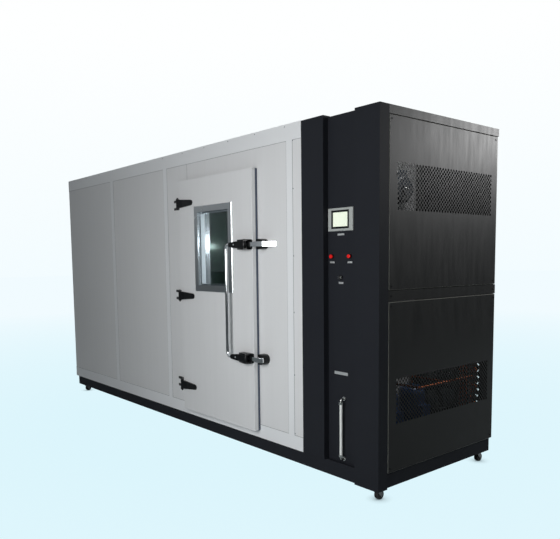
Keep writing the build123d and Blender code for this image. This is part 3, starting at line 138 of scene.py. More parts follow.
def link_object(name: str, data: bpy.types.ID) -> bpy.types.Object:
    """Makes an object and links it to the scene.

    Args:
        name: the object's name.
        data: its mesh, light or camera.
    Returns:
        The object.
    """
    made = bpy.data.objects.new(name, data)
    bpy.context.scene.collection.objects.link(made)
    return made


def object_millimetres(tree: bpy.types.NodeTree, size: Point) -> bpy.types.NodeSocket:
    """Gives object coordinates in which one unit is the given size in millimetres.

    Args:
        tree: the material's node tree.
        size: the pattern's size along X, Y and Z in millimetres.
    Returns:
        The scaled coordinate socket.
    """
    coords = add_node(tree, "ShaderNodeTexCoord")
    scale = tuple(MM_PER_METRE / s for s in size)
    mapping = add_node(tree, "ShaderNodeMapping", {"Vector": coords.outputs["Object"], "Scale": scale})
    return mapping.outputs[0]


@dataclass(frozen=True)
class Finish:
    """A surface finish with a fine grain in its height and a slow change in its tone."""

    name: str
    base: str
    roughness: float
    metallic: float = 0.0
    coat: float = 0.0
    specular: float = 0.5
    grain_mm: Point = (1.5, 1.5, 1.5)
    grain_height_mm: float = 0.02
    grain_strength: float = 0.4
    grain_detail: float = 2.0
    tone_mm: float = 400.0
    tone_stretch: float = 1.0
    tone_detail: float = 3.0
    tone: float = 0.04
    wear: float = 0.05
    coat_roughness: float = 0.08

    def material(self) -> bpy.types.Material:
        """Builds the material once and gives it back on later calls.

        Returns:
            The material.
        """
        made = bpy.data.materials.get(self.name)
        if made:
            return made
        made = bpy.data.materials.new(self.name)
        tree = empty_tree(made)
        output = add_node(tree, "ShaderNodeOutputMaterial")
        tree.links.new(self.shader(tree), output.inputs["Surface"])
        return made

    def shader(self, tree: bpy.types.NodeTree) -> bpy.types.NodeSocket:
        """Builds the principled shader with its grain and tone.

        Args:
            tree: the material's node tree.
        Returns:
            The shader socket.
        """
        tone_size = (self.tone_mm, self.tone_mm, self.tone_mm * self.tone_stretch)
        slow = add_node(tree, "ShaderNodeTexNoise", {
            "Vector": object_millimetres(tree, tone_size), "Scale": 1.0, "Detail": self.tone_detail})
        fine = add_node(tree, "ShaderNodeTexNoise", {
            "Vector": object_millimetres(tree, self.grain_mm), "Scale": 1.0, "Detail": self.grain_detail})
        base = linear(self.base)[:3]
        darker = (*(c * (1 - self.tone) for c in base), 1.0)
        lighter = (*(min(1.0, c * (1 + self.tone)) for c in base), 1.0)
        tone = add_node(tree, "ShaderNodeMix",
                        {"Factor": slow.outputs["Fac"], MIX_A: darker, MIX_B: lighter}, data_type="RGBA")
        rough = add_node(tree, "ShaderNodeMapRange", {
            "Value": slow.outputs["Fac"], "To Min": max(0.0, self.roughness - self.wear),
            "To Max": min(1.0, self.roughness + self.wear)})
        bump = add_node(tree, "ShaderNodeBump", {
            "Height": fine.outputs["Fac"], "Strength": self.grain_strength,
            "Distance": self.grain_height_mm / MM_PER_METRE})
        surface = add_node(tree, "ShaderNodeBsdfPrincipled", {
            "Base Color": tone.outputs[2], "Roughness": rough.outputs[0], "Metallic": self.metallic,
            "Coat Weight": self.coat, "Coat Roughness": self.coat_roughness,
            "Specular IOR Level": self.specular, "Normal": bump.outputs["Normal"]})
        return surface.outputs["BSDF"]


@dataclass(frozen=True)
class ClearFinish(Finish):
    """Clear glass or plastic: thin, slightly tinted, with mirror-like faces."""

    tint: str = "eef6f3"
    mirror: Colour = (0.95, 0.97, 0.97, 1.0)
    gloss: float = 0.12

    def shader(self, tree: bpy.types.NodeTree) -> bpy.types.NodeSocket:
        """Builds a see-through shader with a reflection that grows at grazing angles.

        Args:
            tree: the material's node tree.
        Returns:
            The shader socket.
        """
        smear = add_node(tree, "ShaderNodeTexNoise",
                         {"Vector": object_millimetres(tree, (self.tone_mm,) * 3), "Scale": 1.0})
        rough = add_node(tree, "ShaderNodeMapRange",
                         {"Value": smear.outputs["Fac"], "To Min": 0.0, "To Max": self.roughness})
        through = add_node(tree, "ShaderNodeBsdfTransparent", {"Color": linear(self.tint)})
        mirror = add_node(tree, "ShaderNodeBsdfGlossy",
                          {"Color": self.mirror, "Roughness": rough.outputs[0]})
        edge = add_node(tree, "ShaderNodeLayerWeight", {"Blend": self.gloss})
        return add_node(tree, "ShaderNodeMixShader",
                        {0: edge.outputs["Fresnel"], 1: through.outputs[0], 2: mirror.outputs[0]}).outputs[0]


@dataclass(frozen=True)
class LitFinish(Finish):
    """A glowing face under a glossy cover: a lamp lens, a lit button or a screen; on the gauge tube the glow
    is painted light.
    """

    glow: float = 1.0

    def shader(self, tree: bpy.types.NodeTree) -> bpy.types.NodeSocket:
        """Adds an even glow to the plain shader.

        Args:
            tree: the material's node tree.
        Returns:
            The shader socket.
        """
        plain = super().shader(tree)
        glow = add_node(tree, "ShaderNodeEmission", {"Color": linear(self.base), "Strength": self.glow})
        return add_node(tree, "ShaderNodeAddShader", {0: plain, 1: glow.outputs[0]}).outputs[0]


@dataclass(frozen=True)
class FinnedFinish(Finish):
    """A heat exchanger's face: thin metal fins with painted shade in the gaps between them.

    Real fins stand about 2 mm apart, too fine to show in the render, so these are drawn 4 mm apart. A wave
    texture draws a little over three bands in one unit.
    """

    fin_pitch_mm: float = 4.0
    bands_per_unit: float = 3.14
    # Colour of the painted shade in the gaps between the fins.
    shade_between_fins: str = "15181a"

    def shader(self, tree: bpy.types.NodeTree) -> bpy.types.NodeSocket:
        """Paints shade into the gaps between fins that stand along X.

        Args:
            tree: the material's node tree.
        Returns:
            The shader socket.
        """
        plain = super().shader(tree)
        unit = self.fin_pitch_mm * self.bands_per_unit
        wave = add_node(tree, "ShaderNodeTexWave",
                        {"Vector": object_millimetres(tree, (unit,) * 3), "Scale": 1.0}, bands_direction="X")
        shade_between_fins = add_node(tree, "ShaderNodeBsdfDiffuse", {"Color": linear(self.shade_between_fins)})
        return add_node(tree, "ShaderNodeMixShader",
                        {0: wave.outputs["Fac"], 1: shade_between_fins.outputs[0], 2: plain}).outputs[0]


class Finishes(Enum):
    """Every finish on the chamber."""

    # White powder coat: flat and softly glossy with faint upright streaks; it shows the key light's fall-off.
    WHITE_PANEL = Finish("white powder-coated steel", "dedfe0", 0.42, grain_mm=(1.2,) * 3, tone_mm=45.0,
                         tone_stretch=40.0, tone=0.03)
    # The trims are the same coat, a touch brighter, so joints read as pale lines.
    WHITE_TRIM = Finish("white folded trim", "e8eaec", 0.34, grain_mm=(1.2,) * 3, tone=0.02)
    # Dark slate coat: nearly black and even, with hardly any sheen, so the columns read as one dark mass.
    DARK_COAT = Finish("slate powder-coated steel", "222429", 0.52, specular=0.09, grain_mm=(0.9,) * 3,
                       grain_height_mm=0.04)
    # Charcoal coat on the sides: smoother, worn in upright streaks, so window light leaves a sheen on it.
    SIDE_COAT = Finish("charcoal powder-coated steel", "1b1b1a", 0.37, specular=0.28, grain_mm=(0.9,) * 3,
                       grain_height_mm=0.04, tone_mm=45.0, tone_stretch=7.0, tone=0.25, wear=0.10)
    # Fold edges with a painted highlight: the chamfer is coloured pale for the light it would catch, so each
    # panel is drawn by a thin light line.
    PAINTED_EDGE_HIGHLIGHT = Finish("painted panel edge highlight", "85857e", 0.42, metallic=0.3, tone_mm=60.0, tone=0.3)
    # Brushed steel: grain drawn out along the sheet gives stretched highlights. Its lines are 0.5 mm wide,
    # coarser than real brushing, so that they show.
    STAINLESS = Finish("brushed stainless steel", "c4c8ca", 0.26, metallic=1.0, grain_mm=(90.0, 90.0, 0.5),
                       grain_height_mm=0.03, tone=0.06)
    # Mirror-like lining with a faint green cast: lamp light glares off it behind the window. Its rolling
    # lines are drawn coarser than real ones, so that they show.
    LINING = Finish("mirror-rolled stainless lining", "b8c8be", 0.19, metallic=1.0,
                    grain_mm=(60.0, 60.0, 0.8), tone=0.05)
    # Pale satin aluminium between the panes: a bright line just inside the window frame.
    SPACER = Finish("satin aluminium spacer", "f4f6f7", 0.35)
    # Blackened screws, collars and screen ring: dark, with a small glint.
    BLACK_STEEL = Finish("blackened steel", "1b1c1e", 0.38, metallic=0.7)
    # Painted shadow line along a cover strip: a thin grey strip laid where the strip's shadow falls on the
    # panel.
    PAINTED_JOINT_SHADOW = Finish("painted joint shadow", "8f9294", 0.70)
    # Nickel plate on small fittings: warm, bright and slightly soft reflections.
    NICKEL = Finish("nickel-plated fitting", "b9bab8", 0.24, metallic=1.0)
    # Galvanised plate: crystals show as a mottle a few centimetres across.
    GALVANISED = Finish("galvanised steel", "9a9d9d", 0.45, metallic=0.85, tone_mm=25.0, tone=0.18)
    # Black enamel on castings: deep black, with soft small glints along the rounded edges.
    BLACK_CAST = Finish("black enamelled casting", "0b0c0e", 0.36, specular=0.25, grain_mm=(2.5,) * 3,
                        grain_height_mm=0.08)
    # Chrome: nearly a mirror, broken only by very slight waviness.
    CHROME = Finish("polished chrome", "e3e6e8", 0.10, metallic=1.0, tone_mm=60.0, wear=0.04)
    # Silicone rubber: matt slate, which the narrow gap round the leaf shades to a thin dark line.
    RUBBER = Finish("black silicone rubber", "596070", 0.85, specular=0.2)
    # Clear panes that mirror the studio at a glancing angle.
    GLASS = ClearFinish("clear window glass", "ffffff", 0.02, tone_mm=300.0, tint="f5f8fa")
    # The gauge tube is milky plastic with a faint painted glow, so it stays pale against the dark column.
    PAINTED_GLOW_TUBE = LitFinish("milky gauge tube with painted glow", "d9dcda", 0.18, glow=0.12)
    # Moulded bezel plastic: a flat mid grey round the bright screen.
    BEZEL = Finish("light grey bezel plastic", "a6aaa8", 0.48)
    # Lit screen: an even pale green-white glow with a faint mottle, under a glossy cover.
    SCREEN = LitFinish("pale lit screen", "dde4d2", 0.15, tone_mm=18.0, tone=0.12, glow=0.42)
    # Button lenses glow red from within.
    RED_LENS = LitFinish("red lit button lens", "c2120e", 0.22, glow=0.45)
    # Small plain plates: thin aluminium that shows as pale dashes under the controls.
    PLATE = Finish("blank aluminium plate", "c9cccd", 0.38, metallic=0.6, grain_mm=(40.0, 1.0, 1.0))
    # Compressor enamel: deep blue with a wet-looking coat, dim behind the grille.
    BLUE_SHELL = Finish("blue enamelled shell", "163a6c", 0.34, coat=0.3, tone=0.10)
    # Motor paint: dull and dark, so the round end cover stands out from the pale plate behind it.
    MOTOR = Finish("grey-blue motor paint", "30353b", 0.42, tone=0.10)
    # Bare copper, dulled unevenly by heat: brown-orange lines behind the lower grille.
    COPPER = Finish("bare copper tube", "96502f", 0.34, metallic=1.0, tone_mm=60.0, tone=0.15)
    # Coil blocks: fins with painted shade between them give a fine dark-and-bright ribbing.
    FINS = FinnedFinish("aluminium coil fins", "b7bcbd", 0.40, metallic=0.8)
    # Opal lamp lens: an even white glow over the open door.
    LAMP = LitFinish("opal lamp lens", "f2f4ee", 0.35, glow=3.0)
    # Natural polyethylene: waxy and milky grey in the cabinet's shade.
    TANK = Finish("natural polyethylene", "8d9290", 0.50)
    # Black nylon wheels with a worn tread.
    TREAD = Finish("black nylon tread", "141415", 0.55, tone=0.2, wear=0.12)


def dress(finish: Finishes, *nodes: str) -> None:
    """Gives CAD nodes one finish.

    Args:
        finish: which finish.
        nodes: the CAD nodes' names.
    """
    for name in nodes:
        mesh = FRAME["nodes"][name].data
        mesh.materials.clear()
        mesh.materials.append(finish.value.material())


def soften(width: float, *nodes: str) -> None:
    """Rounds the sharp edges of CAD nodes with modifiers.

    Args:
        width: the bevel's width in metres.
        nodes: the CAD nodes' names.
    """
    for name in nodes:
        piece = FRAME["nodes"][name]
        weld = piece.modifiers.new("join", "WELD")
        weld.merge_threshold = WELD_GAP
        bevel = piece.modifiers.new("rounded edges", "BEVEL")
        bevel.width = width
        bevel.segments = BEVEL_SEGMENTS
        bevel.limit_method = "ANGLE"
        bevel.angle_limit = SOFT_ANGLE
        bevel.harden_normals = True


@dataclass
class MeshMaker:
    """Gathers simple shapes into one mesh object that rides a body."""

    name: str
    finish: Finishes
    body: str
    shape: bmesh.types.BMesh = field(default_factory=bmesh.new)
    dome_sides: int = 12
    shoulder_height: float = 0.6
    shoulder_width: float = 0.85
    crown_width: float = 0.4

    def block(self, low: Point, high: Point) -> None:
        """Adds a block.

        Args:
            low: lowest corner in metres.
            high: highest corner in metres.
        """
        centre = (Vector(low) + Vector(high)) / 2
        size = Vector(high) - Vector(low)
        stretch = Matrix.Translation(centre) @ Matrix.Diagonal((*size, 1.0))
        bmesh.ops.create_cube(self.shape, size=1.0, matrix=stretch)

    def rod(self, start: Point, end: Point, radius: float, sides: int = 24, tip: float | None = None) -> None:
        """Adds a round rod or cone.

        Args:
            start: centre of one end in metres.
            end: centre of the other end.
            radius: radius at the start.
            sides: number of sides.
            tip: radius at the end, the same as the start if left out.
        """
        along = Vector(end) - Vector(start)
        turn = along.to_track_quat("Z", "Y").to_matrix().to_4x4()
        middle = Matrix.Translation((Vector(start) + Vector(end)) / 2)
        bmesh.ops.create_cone(self.shape, cap_ends=True, segments=sides, radius1=radius,
                              radius2=radius if tip is None else tip, depth=along.length,
                              matrix=middle @ turn)

    def dome(self, centre: Point, outward: Point, radius: float, height: float) -> None:
        """Adds a low domed head, such as a rivet's.

        Args:
            centre: middle of its base in metres.
            outward: the way it faces.
            radius: radius of its base.
            height: how far it stands out.
        """
        out = Vector(outward).normalized()
        foot = Vector(centre)
        shoulder = foot + out * height * self.shoulder_height
        shoulder_radius = radius * self.shoulder_width
        self.rod(foot, shoulder, radius, self.dome_sides, shoulder_radius)
        self.rod(shoulder, foot + out * height, shoulder_radius, self.dome_sides, radius * self.crown_width)

    def finished(self, bevel: float = 0.0) -> bpy.types.Object:
        """Makes the object.

        Args:
            bevel: width of rounded edges in metres, or 0.
        Returns:
            The object, riding its body.
        """
        mesh = bpy.data.meshes.new(self.name)
        bmesh.ops.recalc_face_normals(self.shape, faces=self.shape.faces)
        self.shape.to_mesh(mesh)
        self.shape.free()
        mesh.materials.append(self.finish.value.material())
        for polygon in mesh.polygons:
            polygon.use_smooth = True
        mesh.set_sharp_from_angle(angle=SMOOTH_ANGLE)
        made = link_object(self.name, mesh)
        if bevel:
            rounding = made.modifiers.new("rounded edges", "BEVEL")
            rounding.width = bevel
            rounding.segments = BEVEL_SEGMENTS
            rounding.limit_method = "ANGLE"
        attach(made, self.body)
        return made


@dataclass
class Room:
    """The white insulated room: panels, trims, joint strips and rivets."""

    rivet_radius: float = 0.0045
    rivet_height: float = 0.0016
    rivet_levels: tuple[float, ...] = (0.299, 0.72, 1.16, 1.551, 2.008, 2.33)
    rivet_from_right: float = 0.082
    cap_pitch: float = 0.31
    cap_rivet_drop: float = 0.015
    trim: float = 0.002
    cap: float = 0.110
    strip: float = 0.062
    # Width and height of the grey lines of painted shadow beside the strips, cap and base band.
    shadow_width: float = 0.0025
    shadow_height: float = 0.0012
    joints: tuple[float, ...] = (-1.2205, -0.1455, 1.5345)
    header_joint: float = 0.2195
    header_low: float = 2.205

    def dress(self) -> None:
        """Paints the panels and trims."""
        dress(Finishes.WHITE_PANEL, "floor_panel", "roof_panels", "wall_panels", "door_wall_panel")
        dress(Finishes.WHITE_TRIM, "wall_trims")
        dress(Finishes.LINING, "chamber_liner", "air_baffle")
        dress(Finishes.STAINLESS, "door_frame", "heater_bank")
        dress(Finishes.FINS, "evaporator_coil")
        dress(Finishes.GALVANISED, "circulation_fan")
        dress(Finishes.LAMP, "chamber_lamp")

    def rivets(self) -> None:
        """Adds rivet heads down the strips and along the cap."""
        maker = MeshMaker("trim_rivets", Finishes.STAINLESS, "chamber")
        low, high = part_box("wall_trims")
        room_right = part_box("floor_panel")[1][0]
        front = low[1]
        for level in self.rivet_levels:
            maker.dome((room_right - self.rivet_from_right, front, level), (0, -1, 0), self.rivet_radius,
                       self.rivet_height)
        count = int((room_right - low[0]) / self.cap_pitch)
        for index in range(count):
            x = low[0] + (index + 0.5) * (room_right - low[0]) / count
            maker.dome((x, front, high[2] - self.cap_rivet_drop), (0, -1, 0), self.rivet_radius,
                       self.rivet_height)
        maker.finished()

    def shadow_lines(self) -> None:
        """Adds thin grey lines of painted shadow along the joint strips, the cap and the base band."""
        maker = MeshMaker("painted_joint_shadows", Finishes.PAINTED_JOINT_SHADOW, "chamber")
        low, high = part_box("wall_trims")
        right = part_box("floor_panel")[1][0]
        back = low[1] + self.trim
        front = back - self.shadow_height
        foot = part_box("floor_panel")[1][2]
        top = high[2] - self.trim - self.cap
        for joint in self.joints:
            for side in (-1, 1):
                x = joint + side * (self.strip / 2 + self.shadow_width / 2)
                maker.block((x - self.shadow_width / 2, front, foot), (x + self.shadow_width / 2, back, top))
        maker.block((low[0], front, top - self.shadow_width), (right, back, top))
        maker.block((low[0], front, foot), (right, back, foot + self.shadow_width))
        maker.block((self.header_joint, front, self.header_low), (self.header_joint + self.shadow_width, back, top))
        maker.finished()

    def build(self) -> None:
        """Builds the whole room."""
        self.dress()
        self.shadow_lines()
        self.rivets()


@dataclass
class Door:
    """The door leaf, its window, hinges and gasket."""

    edge: float = 0.0015
    bar: float = 0.004
    bar_inset: float = 0.010
    bar_depth: float = 0.036
    pane: float = 0.006

    def spacer_bars(self) -> None:
        """Adds the bright spacer bars behind the front pane's left and right edges."""
        maker = MeshMaker("glazing_spacer_bars", Finishes.SPACER, "door")
        low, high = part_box("window_panes")
        for x in (low[0] + self.bar_inset, high[0] - self.bar_inset - self.bar):
            maker.block((x, low[1] + self.pane, low[2] + self.bar_inset),
                        (x + self.bar, low[1] + self.pane + self.bar_depth, high[2] - self.bar_inset))
        maker.finished()

    def build(self) -> None:
        """Dresses the door and its window."""
        self.spacer_bars()
        dress(Finishes.WHITE_PANEL, "door_leaf")
        dress(Finishes.RUBBER, "door_gasket")
        dress(Finishes.STAINLESS, "window_frame")
        dress(Finishes.GLASS, "window_panes")
        dress(Finishes.BLACK_CAST, "hinge_straps", "hinge_brackets")
        soften(self.edge, "hinge_straps", "hinge_brackets")


@dataclass
class Latch:
    """The linked two-point latch: bases, levers, bar, bolts and keepers."""

    edge: float = 0.0015
    rivet_radius: float = 0.0065
    rivet_height: float = 0.004
    rivet_along: float = 0.055
    rivet_sunk: float = 0.0055

    def rivets(self) -> None:
        """Adds a bright rivet head in each lever's face."""
        maker = MeshMaker("lever_rivets", Finishes.CHROME, "handle")
        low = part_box("latch_levers")[0]
        for bolt in ("latch_bolt_lower", "latch_bolt_upper"):
            bottom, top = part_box(bolt)
            foot = (low[0] + self.rivet_along, low[1] + self.rivet_sunk, (bottom[2] + top[2]) / 2)
            maker.dome(foot, (0, -1, 0), self.rivet_radius, self.rivet_height)
        maker.finished()

    def dress(self) -> None:
        """Dresses the latch's CAD nodes."""
        dress(Finishes.BLACK_CAST, "latch_bases", "latch_levers", "keeper_brackets")
        dress(Finishes.CHROME, "handle_bar", "latch_bolt_lower", "latch_bolt_upper", "keeper_strikes")
        soften(self.edge, "latch_bases", "latch_levers", "keeper_brackets", "keeper_strikes")

    def build(self) -> None:
        """Builds the whole latch."""
        self.dress()
        self.rivets()


@dataclass
class PerforatedPanel:
    """A folded side panel with a field of staggered round holes punched in it."""

    node: str
    field_low: float
    finish: Finishes = Finishes.SIDE_COAT
    field_height: float = 0.300
    field_width: float = 1.050
    pitch: float = 0.030
    hole: float = 0.0094
    hole_sides: int = 8
    sheet: float = 0.002
    fold: float = 0.020
    edge: float = 0.004
    shape: bmesh.types.BMesh = field(default_factory=bmesh.new)

    def holes(self) -> tuple[int, int]:
        """Counts the holes across and up in the larger of the two staggered sets."""
        return round(self.field_width / self.pitch), round(self.field_height / self.pitch)

    def bounds(self) -> tuple[float, float, float, float]:
        """Measures the punched field.

        Returns:
            Its left, right, bottom and top.
        """
        low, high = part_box(self.node)
        across, up = self.holes()
        left = (low[1] + high[1]) / 2 - self.field_width / 2
        return left, left + across * self.pitch, self.field_low, self.field_low + up * self.pitch

    def ring(self, inset: float) -> list[tuple[float, float]]:
        """Gives the panel's four corners, each as its place across and its height.

        Args:
            inset: how far the corners lie inside the panel's outline.
        Returns:
            The corners in order round the panel.
        """
        low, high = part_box(self.node)
        left, right = low[1] + inset, high[1] - inset
        bottom, top = low[2] + inset, high[2] - inset
        return [(left, bottom), (right, bottom), (right, top), (left, top)]

    def face(self, *corners: Point) -> bmesh.types.BMFace:
        """Adds one face with corners of its own and gives it back."""
        return self.shape.faces.new([self.shape.verts.new(corner) for corner in corners])

    def cell(self, x: float, y: float, z: float) -> None:
        """Adds one diamond of sheet with a round hole in it.

        Args:
            x: the sheet's plane.
            y: the hole's place across.
            z: the hole's height.
        """
        half = self.pitch / 2
        rim = []
        edge = []
        for step in range(self.hole_sides):
            angle = step * math.tau / self.hole_sides
            across, up = math.cos(angle), math.sin(angle)
            reach = half if step % 2 == 0 else half / math.sqrt(2)
            rim.append(self.shape.verts.new((x, y + reach * across, z + reach * up)))
            edge.append(self.shape.verts.new((x, y + self.hole * across, z + self.hole * up)))
        for step in range(self.hole_sides):
            after = (step + 1) % self.hole_sides
            self.shape.faces.new((rim[step], rim[after], edge[after], edge[step]))

    def punched_field(self, x: float) -> None:
        """Adds the diamonds round both sets of holes and the triangles along the field's straight edges.

        Args:
            x: the sheet's plane.
        """
        across, up = self.holes()
        left, right, bottom, top = self.bounds()
        half = self.pitch / 2
        for column in range(across):
            for row in range(up):
                self.cell(x, left + half + column * self.pitch, bottom + half + row * self.pitch)
        for column in range(1, across):
            for row in range(1, up):
                self.cell(x, left + column * self.pitch, bottom + row * self.pitch)
        for column in range(across + 1):
            y = left + column * self.pitch
            y0, y1 = max(left, y - half), min(right, y + half)
            self.face((x, y0, bottom), (x, y1, bottom), (x, y, bottom + half))
            self.face((x, y0, top), (x, y1, top), (x, y, top - half))
        for row in range(up + 1):
            z = bottom + row * self.pitch
            z0, z1 = max(bottom, z - half), min(top, z + half)
            self.face((x, left, z0), (x, left, z1), (x, left + half, z))
            self.face((x, right, z0), (x, right, z1), (x, right - half, z))

    def border(self, x: float) -> None:
        """Adds the plain sheet round the punched field.

        Args:
            x: the sheet's plane.
        """
        left, right, bottom, top = self.bounds()
        corners = self.ring(self.edge)
        ys = (corners[0][0], left, right, corners[2][0])
        zs = (corners[0][1], bottom, top, corners[2][1])
        for i in range(3):
            for j in range(3):
                if (i, j) != (1, 1):
                    self.face((x, ys[i], zs[j]), (x, ys[i + 1], zs[j]), (x, ys[i + 1], zs[j + 1]),
                              (x, ys[i], zs[j + 1]))

    def folds(self, x: float) -> None:
        """Adds the chamfered edge, which carries a painted highlight, and the folded rim behind it.

        Args:
            x: the sheet's plane.
        """
        flat, folded = self.ring(self.edge), self.ring(0.0)
        # The chamfer takes a pale colour that stands for a painted highlight.
        chamfer = (flat, x, folded, x - self.edge, HIGHLIGHT_SLOT)
        rim = (folded, x - self.edge, folded, x - self.fold, PAINT_SLOT)
        for ring, depth, after, next_depth, slot in (chamfer, rim):
            for i, corner in enumerate(ring):
                j = (i + 1) % len(ring)
                strip = self.face((depth, *corner), (depth, *ring[j]), (next_depth, *after[j]),
                                  (next_depth, *after[i]))
                strip.material_index = slot

    def build(self) -> None:
        """Builds the panel in place of its CAD node."""
        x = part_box(self.node)[1][0]
        self.punched_field(x)
        self.border(x)
        self.folds(x)
        bmesh.ops.remove_doubles(self.shape, verts=self.shape.verts, dist=WELD_GAP)
        bmesh.ops.recalc_face_normals(self.shape, faces=self.shape.faces)
        mesh = bpy.data.meshes.new(self.node + "_punched")
        self.shape.to_mesh(mesh)
        self.shape.free()
        mesh.materials.append(self.finish.value.material())
        # Second slot: the pale finish that paints a highlight along the chamfer.
        mesh.materials.append(Finishes.PAINTED_EDGE_HIGHLIGHT.value.material())
        made = link_object(self.node + "_punched", mesh)
        wall = made.modifiers.new("sheet", "SOLIDIFY")
        wall.thickness = self.sheet
        wall.offset = -1.0
        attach(made, "chamber")
        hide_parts(self.node)


@dataclass
class Cabinet:
    """The dark machine cabinet: base, columns, side panels and covers."""

    upper_field: float = 1.815
    lower_field: float = 0.485

    def build(self) -> None:
        """Dresses the cabinet and builds its side panels."""
        dress(Finishes.DARK_COAT, "base_frame", "transition_column", "control_panel", "corner_column")
        dress(Finishes.SIDE_COAT, "cabinet_frame", "cabinet_roof", "rear_covers", "side_panel_upper",
              "side_panel_lower", "electrical_panel", "fan_shroud")
        dress(Finishes.BLACK_STEEL, "panel_screws")
        PerforatedPanel("side_panel_upper", self.upper_field).build()
        PerforatedPanel("side_panel_lower", self.lower_field).build()


@dataclass
class Controls:
    """The touch controller, buttons, key switch, label plates and water gauge."""

    plate_thickness: float = 0.0012
    plate_height: float = 0.012
    plate_width: float = 0.040
    plate_drop: float = 0.026
    plate_edge: float = 0.0003
    screen_plate_width: float = 0.060
    screen_plate_drop: float = 0.022
    gauge_plate_width: float = 0.120
    gauge_plate_height: float = 0.020
    gauge_plate_left: float = 0.03
    gauge_plate_rise: float = 0.15
    ring: float = 0.013
    ring_depth: float = 0.001
    ring_proud: float = 0.0006

    def plate(self, maker: MeshMaker, x: float, z: float, width: float, height: float) -> None:
        """Adds a small blank plate on the control panel.

        Args:
            maker: the mesh to add to.
            x: its centre across.
            z: its centre's height.
            width: its width.
            height: its height.
        """
        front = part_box("control_panel")[0][1]
        maker.block((x - width / 2, front - self.plate_thickness, z - height / 2),
                    (x + width / 2, front, z + height / 2))

    def screen_ring(self) -> None:
        """Adds the dark inner frame round the screen."""
        ring = MeshMaker("screen_ring", Finishes.BLACK_STEEL, "chamber")
        low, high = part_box("touch_screen")
        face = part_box("touch_bezel")[0][1]
        x0, x1 = low[0] - self.ring, high[0] + self.ring
        z0, z1 = low[2] - self.ring, high[2] + self.ring
        back = face + self.ring_depth
        front = face - self.ring_proud
        ring.block((x0, front, high[2]), (x1, back, z1))
        ring.block((x0, front, z0), (x1, back, low[2]))
        ring.block((x0, front, low[2]), (low[0], back, high[2]))
        ring.block((high[0], front, low[2]), (x1, back, high[2]))
        ring.finished()

    def plates(self) -> None:
        """Adds the blank plates under the buttons, key switch and screen, and the one over the gauge."""
        maker = MeshMaker("blank_control_plates", Finishes.PLATE, "chamber")
        for node in ("push_button_left", "push_button_right", "key_switch"):
            low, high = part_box(node)
            self.plate(maker, (low[0] + high[0]) / 2, low[2] - self.plate_drop, self.plate_width,
                       self.plate_height)
        low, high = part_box("touch_bezel")
        self.plate(maker, (low[0] + high[0]) / 2, low[2] - self.screen_plate_drop, self.screen_plate_width,
                   self.plate_height)
        low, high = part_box("gauge_fittings")
        self.plate(maker, (low[0] + high[0]) / 2 - self.gauge_plate_left, high[2] + self.gauge_plate_rise,
                   self.gauge_plate_width, self.gauge_plate_height)
        maker.finished(self.plate_edge)

    def build(self) -> None:
        """Dresses the controls and adds their plates."""
        dress(Finishes.BEZEL, "touch_bezel")
        dress(Finishes.SCREEN, "touch_screen")
        dress(Finishes.BLACK_STEEL, "control_collars")
        dress(Finishes.NICKEL, "key_switch", "gauge_fittings")
        dress(Finishes.RED_LENS, "push_button_left", "push_button_right")
        # The tube's faint glow is painted light, not a lamp.
        dress(Finishes.PAINTED_GLOW_TUBE, "gauge_tube")
        dress(Finishes.TANK, "water_tank")
        self.screen_ring()
        self.plates()


@dataclass
class Plant:
    """The machines behind the perforated panels."""

    bend_columns: int = 3
    bend_rows: int = 14
    bend_start: float = 0.04
    bend_pitch: float = 0.050
    bend_gap: float = 0.025
    bend_reach: float = 0.016
    bend_radius: float = 0.0045
    bend_sides: int = 10
    bend_shoulders: tuple[float, float] = (0.2, 0.8)
    header_count: int = 3
    header_pitch: float = 0.026
    header_radius: float = 0.008
    header_sides: int = 14
    header_inset: float = 0.6
    header_clear: float = 1.2
    header_foot: float = 0.05
    header_top: float = 0.06
    hub_radius: float = 0.016
    hub_height: float = 0.006

    def bends(self) -> None:
        """Adds the small return bends on the condenser's right end plate."""
        maker = MeshMaker("coil_end_bends", Finishes.COPPER, "chamber")
        low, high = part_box("condenser_coil")
        outer = high[0] + self.bend_reach
        lower, upper = self.bend_shoulders
        for column in range(self.bend_columns):
            y = low[1] + (column + 0.5) * (high[1] - low[1]) / self.bend_columns
            for row in range(self.bend_rows):
                z = low[2] + self.bend_start + row * self.bend_pitch
                points = [(high[0], y, z), (outer, y, z + self.bend_gap * lower),
                          (outer, y, z + self.bend_gap * upper), (high[0], y, z + self.bend_gap)]
                for start, end in zip(points, points[1:]):
                    maker.rod(start, end, self.bend_radius, self.bend_sides)
        maker.finished()

    def headers(self) -> None:
        """Adds the upright copper headers in front of the coil's right end."""
        maker = MeshMaker("coil_headers", Finishes.COPPER, "chamber")
        low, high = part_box("condenser_coil")
        for index in range(self.header_count):
            x = high[0] - self.header_pitch * (index + self.header_inset)
            y = low[1] - self.header_radius * self.header_clear
            maker.rod((x, y, low[2] + self.header_foot), (x, y, high[2] - self.header_top),
                      self.header_radius, self.header_sides)
        maker.finished()

    def motor_hub(self) -> None:
        """Adds the bright cap in the middle of the motor's end cover."""
        maker = MeshMaker("motor_end_cap", Finishes.NICKEL, "chamber")
        fan_low, fan_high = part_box("circulation_fan")
        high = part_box("circulation_motor")[1]
        y = (fan_low[1] + fan_high[1]) / 2
        z = (fan_low[2] + fan_high[2]) / 2
        maker.dome((high[0], y, z), (1, 0, 0), self.hub_radius, self.hub_height)
        maker.finished()

    def build(self) -> None:
        """Dresses the compressors, motor, coil, fan and lines."""
        self.motor_hub()
        self.bends()
        self.headers()
        dress(Finishes.BLUE_SHELL, "compressors")
        dress(Finishes.MOTOR, "circulation_motor")
        dress(Finishes.GALVANISED, "motor_plate")
        dress(Finishes.COPPER, "refrigerant_lines")
        dress(Finishes.FINS, "condenser_coil")
        dress(Finishes.BLACK_CAST, "condenser_fan")


